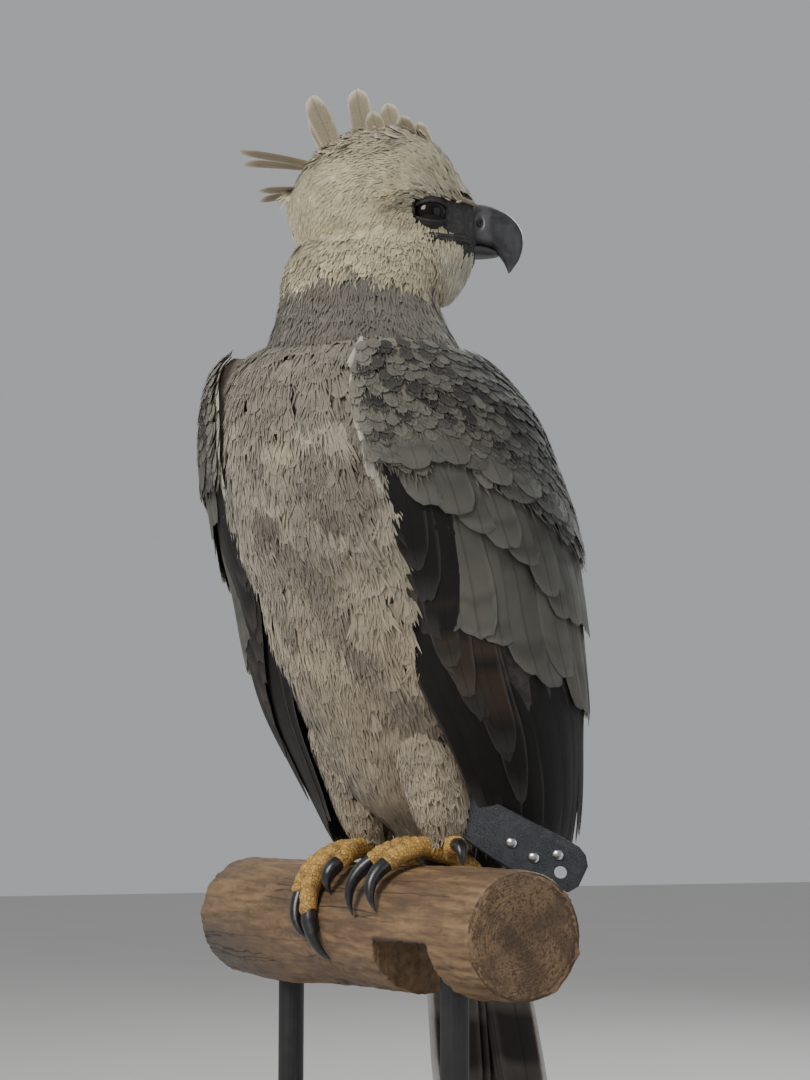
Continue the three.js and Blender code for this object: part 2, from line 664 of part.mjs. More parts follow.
function strapPoint(at, across, off) {
  const middle = STRAP_LINE.getPointAt(at);
  const along = STRAP_LINE.getTangentAt(at);
  const facing = place(HEAD, 0, -1, 0).sub(place(HEAD, 0, 0, 0));
  const width = facing.clone().cross(along).normalize();
  const out = along.clone().cross(width).normalize();
  return middle.addScaledVector(width, across).addScaledVector(out, off);
}

function strap(grow = 0) {
  const face = (off) => STRAP_SHAPE.map(([at, share]) => [-1, -0.5, 0, 0.5, 1].map((across) =>
    strapPoint(at, across * (STRAP.width / 2) * share, off * (STRAP.thickness / 2 + grow))));
  const [at, across] = STRAP.holeAt;
  const bore = tube([-6, 0, 6].map((off) => strapPoint(at, across, off)), [STRAP.hole, STRAP.hole], 12, 2);
  return slab(face(1), face(-1)).subtract(bore);
}

function rivet([at, across]) {
  const foot = STRAP.thickness / 2 + GAP;
  return loft([[RIVET_RADIUS, 0], [RIVET_RADIUS, 0.7], [RIVET_RADIUS * 0.72, 1.9], [1.4, 2.4]].map(([radius, rise]) =>
    steps(0, 2 * Math.PI, 11).slice(0, 10).map((angle) => {
      const share = (Math.cos(angle) * radius) / STRAP_LINE.getLength();
      return strapPoint(at + share, across + Math.sin(angle) * radius, foot + rise);
    })));
}

// Log: peeled, worn, thicker behind the feet, with a saddle notch cut in its underside
const logShape = profile([
  [-300, 56, 57], [-220, 58, 58], [-120, 56, 56], [-60, 54.4, 54.6], [80, 54, 54], [150, 53, 53], [236, 51.5, 51.5],
]);

function log(grow = 0) {
  const places = [LOG_FROM - grow, -296, -240, -180, -120, -60, 0, 50, NOTCH_FROM, NOTCH_FROM + 5, NOTCH_TO - 5,
    NOTCH_TO, 232, LOG_TO + grow];
  return loft(places.map((x) => {
    const [wide, tall] = logShape(x);
    const worn = x < LOG_FROM + 2 || x > LOG_TO - 2 ? 1.6 : 0;
    const floor = x > NOTCH_FROM && x < NOTCH_TO ? -2 * tall + NOTCH_DEPTH : -1000;
    return steps(0, 2 * Math.PI, 19).slice(0, 18).map((angle) => {
      const knobs = Math.sin(angle * 2 + x / 55) * 0.9 + Math.sin(angle * 3 - x / 38) * 0.5;
      const lump = Math.cos(angle) > 0.2 ? 0 : knobs;
      const y = Math.sin(angle) * (wide + grow + lump - worn);
      const z = -tall + Math.cos(angle) * (tall + grow + lump - worn);
      return vec(x, y, LOG_TOP + Math.max(z, floor - grow));
    });
  }));
}

// Stand: a flat board with rounded corners, and two rods up to the log
function standBase() {
  const outline = (inset, z) => [0, 1, 2, 3].flatMap((corner) => steps(0, 90, 6).map((turn) => {
    const angle = degrees(corner * 90 + turn);
    const signX = corner === 0 || corner === 3 ? 1 : -1;
    const signY = corner < 2 ? 1 : -1;
    const radius = BASE_CORNER - inset;
    return vec(
      signX * (BASE_LENGTH / 2 - BASE_CORNER) + Math.cos(angle) * radius,
      signY * (BASE_WIDTH / 2 - BASE_CORNER) + Math.sin(angle) * radius,
      z,
    );
  }));
  return loft([outline(0, 0), outline(0, BASE_THICKNESS - 3), outline(3, BASE_THICKNESS)]);
}

function rod(x) {
  return tube([vec(x, 0, BASE_THICKNESS + GAP), vec(x, 0, LOG_TOP - 56)], [ROD_RADIUS, ROD_RADIUS], 20, 1);
}

// Sub-part from a solid
const model = new THREE.Group();
function add(name, body, material) {
  const { vertProperties, triVerts } = body.getMesh();
  const geometry = new THREE.BufferGeometry();
  geometry.setAttribute('position', new THREE.BufferAttribute(Float32Array.from(vertProperties), 3));
  geometry.setIndex(Array.from(triVerts));
  const mesh = new THREE.Mesh(geometry, material);
  mesh.name = name;
  model.add(mesh);
}

const perch = log();
const perchRoom = log(GAP);
const chest = torso();
const chestRoom = torso(GAP);
const headRoom = join([headLoft(GAP), ...[LEFT, RIGHT].map(brow)]);
const neckRoom = neck(GAP);
const tailRoom = tail(GAP);
const strapRoom = strap(GAP);
const legRooms = [leg(LEGS.left, GAP), leg(LEGS.right, GAP)];

add('torso', chest, TAN);
add('neck', largest(neck().subtract(join([chestRoom, headRoom]))), GREY);
add('head', head(), PALE);
add('crest', largest(crest().subtract(neckRoom)), GREY);
add('bill_upper', largest(billLoft(UPPER_BILL).subtract(join([LEFT, RIGHT].map(nostril)))), HORN);
add('bill_lower', largest(billLoft(LOWER_BILL).subtract(billLoft(UPPER_BILL, GAP))), HORN);
add('tail', largest(tail().subtract(join([chestRoom, perchRoom]))), DARK);

for (const [name, side] of [['left', LEFT], ['right', RIGHT]]) {
  const spec = LEGS[name];
  const toes = Object.entries(TOES[name]);
  const footRoom = foot(name, GAP);
  add(`eye_${name}`, eyeball(side), GLASS);
  add(`wing_${name}`, largest(wing(side).subtract(join([chestRoom, neckRoom, headRoom, tailRoom, strapRoom,
    perchRoom, ...legRooms]))), DARK);
  add(`leg_${name}`, largest(leg(spec).subtract(join([chestRoom, perchRoom, footRoom]))), TAN);
  add(`foot_${name}`, largest(foot(name).subtract(join([perchRoom, chestRoom]))), SKIN);
  for (const [digit, toeSpec] of toes) {
    const size = digit === 'hind' ? 1.25 : digit === 'outer' ? 0.9 : 1.08;
    add(`claw_${name}_${digit}`, largest(claw(toeSpec, size).subtract(join([footRoom, perchRoom]))), HORN);
  }
}

add('jess_strap', largest(strap().subtract(join([legRooms[0], foot('left', GAP), perchRoom]))), STRAP_LEATHER);
RIVETS.forEach((at, i) => add(`jess_rivet_${i + 1}`, rivet(at), RIVET));
add('perch_log', perch, BARE_WOOD);
add('stand_base', standBase(), STAND_WOOD);
ROD_PLACES.forEach((x, i) => add(`stand_rod_${i + 1}`, largest(rod(x).subtract(perchRoom)), STAND_STEEL));

export default model;
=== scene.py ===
"""Harpy eagle on a cut log, dressed for rendering: skin, plumage, bill, eyes, feet, strap, log and stand."""
import logging
import math
from dataclasses import dataclass
from enum import Enum

import bpy
import numpy as np
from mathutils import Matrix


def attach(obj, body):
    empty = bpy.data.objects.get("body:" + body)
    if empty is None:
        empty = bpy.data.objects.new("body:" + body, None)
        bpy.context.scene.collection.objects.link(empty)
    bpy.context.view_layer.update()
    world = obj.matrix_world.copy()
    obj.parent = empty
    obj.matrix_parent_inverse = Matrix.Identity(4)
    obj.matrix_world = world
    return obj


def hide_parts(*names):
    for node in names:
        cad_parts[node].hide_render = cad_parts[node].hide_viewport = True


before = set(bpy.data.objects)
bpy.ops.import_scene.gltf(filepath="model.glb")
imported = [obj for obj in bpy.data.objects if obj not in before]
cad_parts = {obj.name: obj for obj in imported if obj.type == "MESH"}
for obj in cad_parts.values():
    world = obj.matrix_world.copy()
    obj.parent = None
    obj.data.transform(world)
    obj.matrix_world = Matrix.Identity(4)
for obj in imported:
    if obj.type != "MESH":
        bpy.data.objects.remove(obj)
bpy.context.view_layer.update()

log = logging.getLogger("harpy_eagle")

# Driving dimensions in millimetres, heights from the top of the log
MM = 0.001
LOG_TOP = 372.0
LOG_RADIUS = 54.0
LOG_FROM = -300.0
LOG_TO = 236.0
NOTCH = (74.0, 169.0, 46.0)
END_RADIUS = 51.5
WORN_EDGE = 3.0
RING_CENTRE = (0.0, 0.004, -0.3195)
RING_PHASE = 2600.0
TAU = 2.0 * math.pi
SEED = 20417

# Camera, worked out from the photograph's horizon and the log's round end
FRAME_HEIGHT = 1080
FOCAL_PIXELS = 2190.0
SENSOR = 36.0
CAMERA_BEARING = math.radians(63.0)
CAMERA_DISTANCE = 1928.0
CAMERA_RIGHT = 14.5
CAMERA_RISE = 43.9
CAMERA_PITCH = math.radians(7.08)


class Side(Enum):
    """Which of the bird's two sides a piece is on."""

    LEFT = 1
    RIGHT = -1

    @property
    def label(self) -> str:
        """The side's word in the names of pieces."""
        return self.name.lower()


class Lie(Enum):
    """How a feather's outline runs: small body feather, covert or long quill feather."""

    BODY = ((0.0, 0.5), (0.35, 0.92), (0.7, 1.0), (1.0, 0.88))
    WISP = ((0.0, 0.6), (0.4, 1.0), (0.8, 0.6), (1.0, 0.12))
    COVERT = ((0.0, 0.6), (0.3, 0.9), (0.6, 1.0), (0.85, 0.99), (1.0, 0.86))
    QUILL = ((0.0, 0.4), (0.2, 0.8), (0.45, 0.98), (0.75, 1.0), (0.92, 0.86), (1.0, 0.6))


def srgb(red: float, green: float, blue: float) -> np.ndarray:
    """Linear colour from 0-255 screen values.

    Args:
        red: Red, 0 to 255.
        green: Green, 0 to 255.
        blue: Blue, 0 to 255.

    Returns:
        Three linear values: ((c + 0.055) / 1.055) to the power 2.4 of each share c.
    """
    share = np.array([red, green, blue]) / 255.0
    return np.where(share <= 0.04045, share / 12.92, ((share + 0.055) / 1.055) ** 2.4)


def ease(value: np.ndarray, low: float, high: float) -> np.ndarray:
    """Smooth step: 3 t squared minus 2 t cubed, with t the share of value between low and high."""
    t = np.clip((value - low) / (high - low), 0.0, 1.0)
    return t * t * (3.0 - 2.0 * t)


def unit(vectors: np.ndarray) -> np.ndarray:
    """Vectors divided by their own lengths."""
    return vectors / np.maximum(np.linalg.norm(vectors, axis=-1, keepdims=True), 1e-9)


def root_power(value: np.ndarray, exponent: float) -> np.ndarray:
    """Superellipse term: the sign of value times its size to the power 2 / exponent."""
    return np.sign(value) * np.abs(value) ** (2.0 / exponent)


def waves(points: np.ndarray, scale: float, seed: int) -> np.ndarray:
    """Smooth seeded noise: the mean of products of sines along turned axes.

    Args:
        points: Places, in millimetres, in the last axis.
        scale: Length of one blotch, in millimetres.
        seed: Draws the axes and the phases.

    Returns:
        One value from about -1 to 1 for each place.
    """
    draw = np.random.default_rng(seed)
    total = 0.0
    for octave in range(3):
        axes = unit(draw.normal(size=(3, 3)))
        phase = draw.uniform(0.0, TAU, size=3)
        angle = points @ axes.T * (TAU / scale * 1.9 ** octave) + phase
        total = total + np.prod(
            np.sin(angle + 0.9 * np.sin(np.roll(angle, 1, axis=-1))), axis=-1,
        ) * 0.75 ** octave
    return total * 1.6


class Profile:
    """Smooth curve through rows of (position, value, value, ...), positions rising."""

    def __init__(self, rows: list[tuple[float, ...]]) -> None:
        """Keeps the rows as arrays.

        Args:
            rows: Position first, then the values there.
        """
        table = np.array(rows, dtype=float)
        self.at = table[:, 0]
        self.values = table[:, 1:]

    def __call__(self, position: np.ndarray | float) -> list[np.ndarray]:
        """Values at each position, by cubic Hermite pieces whose slopes are the chords over two spans.

        Args:
            position: Where the curve is read; held to its first and last row.

        Returns:
            One array for each value column.
        """
        t = np.asarray(position, dtype=float)
        last = len(self.at) - 1
        i = np.clip(np.searchsorted(self.at, t, side="right") - 1, 0, last - 1)
        before = np.maximum(i - 1, 0)
        after = np.minimum(i + 2, last)
        span = self.at[i + 1] - self.at[i]
        f = np.clip((t - self.at[i]) / span, 0.0, 1.0)
        found = []
        for column in self.values.T:
            start = column[i]
            end = column[i + 1]
            leave = (end - column[before]) / (self.at[i + 1] - self.at[before]) * span
            arrive = (column[after] - start) / (self.at[after] - self.at[i]) * span
            bend = 2.0 * (start - end) + leave + arrive
            rise = 3.0 * (end - start) - 2.0 * leave - arrive
            found.append(((bend * f + rise) * f + leave) * f + start)
        return found


@dataclass(frozen=True)
class Bearing:
    """A level frame of the bird: the way it faces, and how far its middle plane lies to the left."""

    heading: float
    side: float = 0.0

    def place(self, forward: np.ndarray, side: np.ndarray, height: np.ndarray) -> np.ndarray:
        """Places given forward, to the left and up from the top of the log.

        Args:
            forward: Millimetres ahead.
            side: Millimetres to the left of the frame's middle plane.
            height: Millimetres over the top of the log.

        Returns:
            Points in the model's frame, in millimetres, along the last axis.
        """
        across = side + self.side
        c = math.cos(self.heading)
        s = math.sin(self.heading)
        parts = np.broadcast_arrays(c * forward - s * across, s * forward + c * across, LOG_TOP + height)
        return np.stack(parts, axis=-1)

    def read(self, points: np.ndarray) -> tuple[np.ndarray, np.ndarray, np.ndarray]:
        """Forward, side and height of points, the inverse of place."""
        c = math.cos(self.heading)
        s = math.sin(self.heading)
        forward = c * points[..., 0] + s * points[..., 1]
        across = c * points[..., 1] - s * points[..., 0]
        return forward, across - self.side, points[..., 2] - LOG_TOP


CHEST = Bearing(math.radians(-65.0), 18.0)
HEAD = Bearing(math.radians(63.0), -39.0)


class Surface:
    """A skin surface that feathers grow on: u falls along their lie, v runs round the body."""

    low = 0.0
    high = 1.0

    def point(self, u: np.ndarray, v: np.ndarray, lift: np.ndarray | float = 0.0) -> np.ndarray:
        """Place at (u, v), lift millimetres outside the surface."""
        raise NotImplementedError

    def steps(self, u: np.ndarray, v: np.ndarray) -> tuple[np.ndarray, np.ndarray]:
        """How far u and v change for one millimetre on the surface.

        Args:
            u: Position along the lie.
            v: Position round the body.

        Returns:
            The change of u and of v for one millimetre, from central differences.
        """
        du = np.linalg.norm(self.point(u + 1.0, v) - self.point(u - 1.0, v), axis=-1) / 2.0
        dv = np.linalg.norm(self.point(u, v + 0.01) - self.point(u, v - 0.01), axis=-1) / 0.02
        return 1.0 / np.maximum(du, 0.15), 1.0 / np.maximum(dv, 3.0)

    def turn(self, u: np.ndarray, v: np.ndarray, flow: np.ndarray) -> np.ndarray:
        """Bearing from the lie of a wanted direction, in the plane of the surface.

        Args:
            u: Position along the lie.
            v: Position round the body.
            flow: Wanted directions in the model's frame.

        Returns:
            Angles whose tangent is the flow's part across the lie over its part along it.
        """
        lie = unit(self.point(u - 1.0, v) - self.point(u + 1.0, v))
        across = unit(self.point(u, v + 0.01) - self.point(u, v - 0.01))
        return np.arctan2((flow * across).sum(axis=-1), (flow * lie).sum(axis=-1))

    def loops(self, rows: int, columns: int, lift: float) -> np.ndarray:
        """Closed rings of points from the lowest u to the highest."""
        u = np.linspace(self.low, self.high, rows)[:, None]
        v = np.linspace(0.0, TAU, columns, endpoint=False)[None, :]
        return self.point(u + 0.0 * v, v + 0.0 * u, lift)


# How square the torso's and the skull's cross-sections are: 2 is an ellipse
TORSO_POWER = 2.15
SKULL_POWER = 2.1

# Lean of the shoulders to the bird's right, by height
SHOULDER_LEAN = Profile([(300, 0), (331, -3), (374, -6), (402, -11), (424, -15), (452, -17)])


class Torso(Surface):
    """Torso: egg-shaped level rings by height."""

    low = 24.0
    high = 452.0
    shape = Profile([
        (24, -78, 62, 52, 50), (58, -56, 86, 84, 76), (109, -30, 94, 112, 100), (144, -16, 102, 124, 116),
        (187, -2, 108, 132, 130), (235, 10, 114, 136, 140), (262, 18, 124, 136, 144),
        (297, 28, 130, 130, 147), (358, 42, 124, 116, 144), (402, 50, 108, 100, 130),
        (436, 56, 80, 78, 100), (452, 60, 48, 48, 62),
    ])

    def point(self, u: np.ndarray, v: np.ndarray, lift: np.ndarray | float = 0.0) -> np.ndarray:
        """Ring at height u: centre plus reach times the superellipse terms of the bearing v."""
        centre, front, back, half = self.shape(u)
        along = root_power(np.cos(v), TORSO_POWER)
        reach = np.where(along > 0.0, front, back) + lift
        lean = SHOULDER_LEAN(u)[0]
        across = root_power(np.sin(v), TORSO_POWER) * (half + lift) + lean
        return CHEST.place(centre + along * reach, across, u)

    def depth(self, points: np.ndarray) -> np.ndarray:
        """How far points lie from the torso's axis as a share of its skin: under 1 is inside."""
        forward, side, height = CHEST.read(points)
        side = side - SHOULDER_LEAN(height)[0]
        centre, front, back, half = self.shape(height)
        along = forward - centre
        reach = np.where(along > 0.0, front, back)
        share = np.abs(along / reach) ** TORSO_POWER + np.abs(side / half) ** TORSO_POWER
        share = share ** (1.0 / TORSO_POWER)
        return np.where((height < self.low) | (height > self.high), 9.0, share)


class Neck(Surface):
    """Neck: level ellipses whose middle leans towards the head."""

    low = 415.0
    high = 548.0
    shape = Profile([
        (415, -22, 88, 84), (440, -22, 84, 80), (462, -24, 75, 70), (485, -25, 69, 62),
        (508, -20, 71, 54), (530, -14, 66, 48), (548, -10, 50, 38),
    ])
    lean = Profile([(415, -14), (462, -13), (508, -7), (548, 0)])

    def point(self, u: np.ndarray, v: np.ndarray, lift: np.ndarray | float = 0.0) -> np.ndarray:
        """Ring at height u: centre plus half length and half width times cosine and sine of v."""
        centre, along, across = self.shape(u)
        return HEAD.place(
            centre + np.cos(v) * (along + lift), self.lean(u)[0] + np.sin(v) * (across + lift), u,
        )

    def depth(self, points: np.ndarray) -> np.ndarray:
        """How far points lie from the neck's axis as a share of its skin: under 1 is inside."""
        forward, side, height = HEAD.read(points)
        centre, along, across = self.shape(height)
        share = np.hypot((forward - centre) / along, (side - self.lean(height)[0]) / across)
        return np.where((height < self.low) | (height > self.high), 9.0, share)


class Skull(Surface):
    """Feathered head: upright rings across the line from nape to bill, by forward place."""

    low = -86.0
    high = 77.0
    shape = Profile([
        (-86, 590, 548, 16), (-76, 606, 532, 32), (-58, 622, 518, 43), (-36, 635, 508, 50),
        (-8, 642, 500, 52), (18, 641, 494, 48), (38, 634, 490, 41), (54, 617, 491, 34),
        (66, 596, 505, 26), (77, 580, 526, 17),
    ])

    def point(self, u: np.ndarray, v: np.ndarray, lift: np.ndarray | float = 0.0) -> np.ndarray:
        """Ring at forward place u: half width times the cosine term, height above or below the middle
        times the sine term of the bearing v."""
        top, bottom, half = self.shape(u)
        middle = bottom + 0.52 * (top - bottom)
        rise = root_power(np.sin(v), SKULL_POWER)
        reach = np.where(rise > 0.0, top - middle, middle - bottom) + lift
        return HEAD.place(u, root_power(np.cos(v), SKULL_POWER) * (half + lift), middle + rise * reach)

    def depth(self, points: np.ndarray) -> np.ndarray:
        """How far points lie from the head's axis as a share of its skin: under 1 is inside."""
        forward, side, height = HEAD.read(points)
        top, bottom, half = self.shape(forward)
        middle = bottom + 0.52 * (top - bottom)
        rise = height - middle
        reach = np.where(rise > 0.0, top - middle, middle - bottom)
        share = np.abs(rise / reach) ** SKULL_POWER + np.abs(side / half) ** SKULL_POWER
        share = share ** (1.0 / SKULL_POWER)
        return np.where((forward < self.low) | (forward > self.high), 9.0, share)


class Leg(Surface):
    """Feathered leg: level ellipses by height, in the chest's frame."""

    low = 20.0
    high = 170.0

    def __init__(self, side: Side) -> None:
        """Sizes of one leg.

        Args:
            side: The bird's left or right.
        """
        self.side = side
        self.shape = Profile({
            Side.LEFT: [(20, 10, 55, 20, 17), (34, 11, 53, 27, 22), (70, 12, 47, 36, 29),
                        (112, 14, 40, 44, 33), (170, 18, 40, 48, 38)],
            Side.RIGHT: [(20, -22, 53, 21, 18), (34, -20, 53, 29, 24), (70, -12, 52, 40, 34),
                         (112, 2, 50, 50, 41), (170, 14, 50, 52, 44)],
        }[side])

    def point(self, u: np.ndarray, v: np.ndarray, lift: np.ndarray | float = 0.0) -> np.ndarray:
        """Ring at height u: centre plus half length and half width times cosine and sine of v."""
        forward, out, along, across = self.shape(u)
        return CHEST.place(
            forward + np.cos(v) * (along + lift),
            self.side.value * out + np.sin(v) * (across + lift),
            u,
        )


class WingSheet(Surface):
    """Outer face of a folded wing: u is height, v the share from its front to its back edge."""

    low = -14.0
    high = 446.0
    shape = Profile([
        (-14, -74, 98, 98, 100, 62, 0.84, 144), (18, -60, 115, 112, 112, 56, 0.8, 152),
        (58, -46, 130, 122, 120, 51, 0.78, 160), (109, -27, 146, 134, 126, 45, 0.77, 165),
        (144, -16, 154, 130, 132, 37, 0.81, 166), (187, -2, 160, 120, 140, 31, 0.86, 166),
        (235, 10, 164, 122, 146, 31, 0.88, 164), (272, 20, 166, 124, 148, 30, 0.96, 161),
        (331, 35, 164, 124, 138, 30, 1.02, 155), (383, 46, 155, 116, 124, 29, 1.03, 146),
        (424, 52, 134, 102, 104, 36, 1.02, 136), (446, 55, 112, 84, 86, 42, 1.0, 128),
    ])

    def __init__(self, side: Side) -> None:
        """One wing.

        Args:
            side: The bird's left or right.
        """
        self.side = side
        self.top = 434.0 if side is Side.LEFT else 446.0
        draws = [
            (272, 0), (331, 4), (383, 7), (424, 10), (446, 16),
        ] if side is Side.LEFT else [(0, 0), (446, 0)]
        self.draw = Profile(draws)

    def point(self, u: np.ndarray, v: np.ndarray, lift: np.ndarray | float = 0.0) -> np.ndarray:
        """Ring of the body and wings at height u, read between the wing's front and back bearing and
        drawn in towards the breast at its front edge."""
        centre, half, front, back, edge, draw, rear = self.shape(u)
        angle = np.radians(edge + (rear - edge) * v)
        scale = draw + (1.0 - draw) * ease(v, -0.05, 0.32)
        along = np.cos(angle)
        reach = (np.where(along > 0.0, front, back) + lift) * along * scale
        out = half + lift - self.draw(u)[0]
        return CHEST.place(
            centre + reach, self.side.value * np.sin(angle) * out * scale + SHOULDER_LEAN(u)[0], u,
        )

    def covers(
        self, forward: np.ndarray, side: np.ndarray, height: np.ndarray, margin: np.ndarray | float,
    ) -> np.ndarray:
        """Whether the wing hides places of the body that lie under it.

        Args:
            forward: Forward place in the chest's frame.
            side: Side place in the chest's frame.
            height: Height over the log.
            margin: Degrees inside the wing's edges that still count as open.

        Returns:
            True where the wing lies over the place.
        """
        centre, half, front, back, edge, _, rear = self.shape(height)
        along = (forward - centre) / np.where(forward > centre, front, back)
        bearing = np.degrees(np.arctan2(self.side.value * (side - SHOULDER_LEAN(height)[0]) / half, along))
        return (
            bearing > edge + margin
        ) & (bearing < rear - margin) & (height > 66.0) & (height < self.top - 6.0)


@dataclass
class Mesh:
    """Points, faces and per-point values gathered for one piece."""

    points: np.ndarray
    quads: np.ndarray
    triangles: np.ndarray
    uv: np.ndarray | None = None
    bake: np.ndarray | None = None
    colour: np.ndarray | None = None
    sharp: bool = False

    @staticmethod
    def joined(parts: list["Mesh"]) -> "Mesh":
        """One mesh from several that carry the same values."""
        offsets = np.cumsum([0] + [len(part.points) for part in parts[:-1]])
        stack = {}
        for name in ("uv", "bake", "colour"):
            values = [getattr(part, name) for part in parts]
            stack[name] = None if values[0] is None else np.concatenate(values)
        return Mesh(
            np.concatenate([part.points for part in parts]),
            np.concatenate([part.quads + start for part, start in zip(parts, offsets)]),
            np.concatenate([part.triangles + start for part, start in zip(parts, offsets)]),
            sharp=parts[0].sharp,
            **stack,
        )

    def build(self, name: str) -> bpy.types.Object:
        """Puts the mesh in the scene, in metres, with its maps and values.

        Args:
            name: Name of the new object.

        Returns:
            The new object, at the origin.
        """
        mesh = bpy.data.meshes.new(name)
        corners = np.concatenate([self.quads.ravel(), self.triangles.ravel()]).astype(np.int32)
        totals = np.concatenate(
            [np.full(len(self.quads), 4), np.full(len(self.triangles), 3)]
        ).astype(np.int32)
        starts = np.concatenate([[0], np.cumsum(totals)[:-1]]).astype(np.int32)
        mesh.vertices.add(len(self.points))
        mesh.vertices.foreach_set("co", (self.points * MM).astype(np.float32).ravel())
        mesh.loops.add(len(corners))
        mesh.loops.foreach_set("vertex_index", corners)
        mesh.polygons.add(len(totals))
        mesh.polygons.foreach_set("loop_start", starts)
        mesh.polygons.foreach_set("loop_total", totals)
        mesh.polygons.foreach_set("use_smooth", np.ones(len(totals), dtype=bool))
        for label, values in (("OFBake", self.bake), ("Vane", self.uv)):
            if values is not None:
                layer = mesh.uv_layers.new(name=label)
                layer.data.foreach_set("uv", values[corners].astype(np.float32).ravel())
        if self.colour is not None:
            shade = np.ones((len(self.points), 4), dtype=np.float32)
            shade[:, :3] = self.colour
            layer = mesh.attributes.new("Plume", "FLOAT_COLOR", "POINT")
            layer.data.foreach_set("color", shade.ravel())
        mesh.update(calc_edges=True)
        mesh.validate()
        if self.sharp:
            mesh.set_sharp_from_angle(angle=math.radians(70.0))
        made = bpy.data.objects.new(name, mesh)
        bpy.context.scene.collection.objects.link(made)
        return made


def rings_mesh(rings: np.ndarray) -> Mesh:
    """Closed skin through rings of points, fanned shut at both ends.

    Args:
        rings: Points as (ring, place round it, 3), in millimetres.

    Returns:
        The mesh, its faces turned outwards.
    """
    count, around = rings.shape[:2]
    index = np.arange(count * around).reshape(count, around)
    turn = np.roll(index, -1, axis=1)
    quads = np.stack([index[:-1], turn[:-1], turn[1:], index[1:]], axis=-1).reshape(-1, 4)
    ends = np.array([count * around, count * around + 1])
    first = np.stack([turn[0], index[0], np.full(around, ends[0])], axis=-1)
    last = np.stack([index[-1], turn[-1], np.full(around, ends[1])], axis=-1)
    points = np.concatenate([rings.reshape(-1, 3), rings[:1].mean(axis=1), rings[-1:].mean(axis=1)])
    return outwards(Mesh(points, quads, np.concatenate([first, last])))


def outwards(mesh: Mesh) -> Mesh:
    """The mesh with its faces turned so that its signed volume is positive.

    Args:
        mesh: A closed mesh.

    Returns:
        The same mesh.
    """
    corners = np.concatenate([mesh.quads[:, [0, 1, 2]], mesh.quads[:, [0, 2, 3]], mesh.triangles])
    a, b, c = (mesh.points[corners[:, k]] for k in range(3))
    if np.einsum("ij,ij->", a, np.cross(b, c)) < 0.0:
        mesh.quads = mesh.quads[:, ::-1]
        mesh.triangles = mesh.triangles[:, ::-1]
    return mesh


def tube_rings(path: np.ndarray, radii: np.ndarray, around: int, flatten: float = 1.0) -> np.ndarray:
    """Rings of a round tube along a smooth line of points.

    Args:
        path: Points of the line, in millimetres.
        radii: Radius at each point.
        around: Points in a ring.
        flatten: Height of a ring as a share of its width.

    Returns:
        Rings as (point, place round it, 3): centre plus radius times cosine and sine along two
        directions square to the line.
    """
    along = unit(np.gradient(path, axis=0))
    up = np.array([0.0, 0.0, 1.0]) if abs(along[0, 2]) < 0.9 else np.array([0.0, 1.0, 0.0])
    side = np.empty_like(path)
    current = unit(np.cross(up, along[0]))
    for i, direction in enumerate(along):
        current = unit(current - direction * (current @ direction))
        side[i] = current
    rise = np.cross(along, side)
    angle = np.linspace(0.0, TAU, around, endpoint=False)
    spin = np.cos(angle)[
        None, :, None
    ] * side[:, None] + flatten * np.sin(angle)[None, :, None] * rise[:, None]
    return path[:, None] + radii[:, None, None] * spin


def smooth_line(points: np.ndarray, count: int) -> np.ndarray:
    """Evenly spaced places on a Hermite curve through points.

    Args:
        points: Places to pass through.
        count: Places wanted.

    Returns:
        One place in each row.
    """
    gaps = np.linalg.norm(np.diff(points, axis=0), axis=1)
    at = np.concatenate([[0.0], np.cumsum(gaps)])
    curve = Profile(np.column_stack([at, points]).tolist())
    return np.stack(curve(np.linspace(0.0, at[-1], count)), axis=-1)


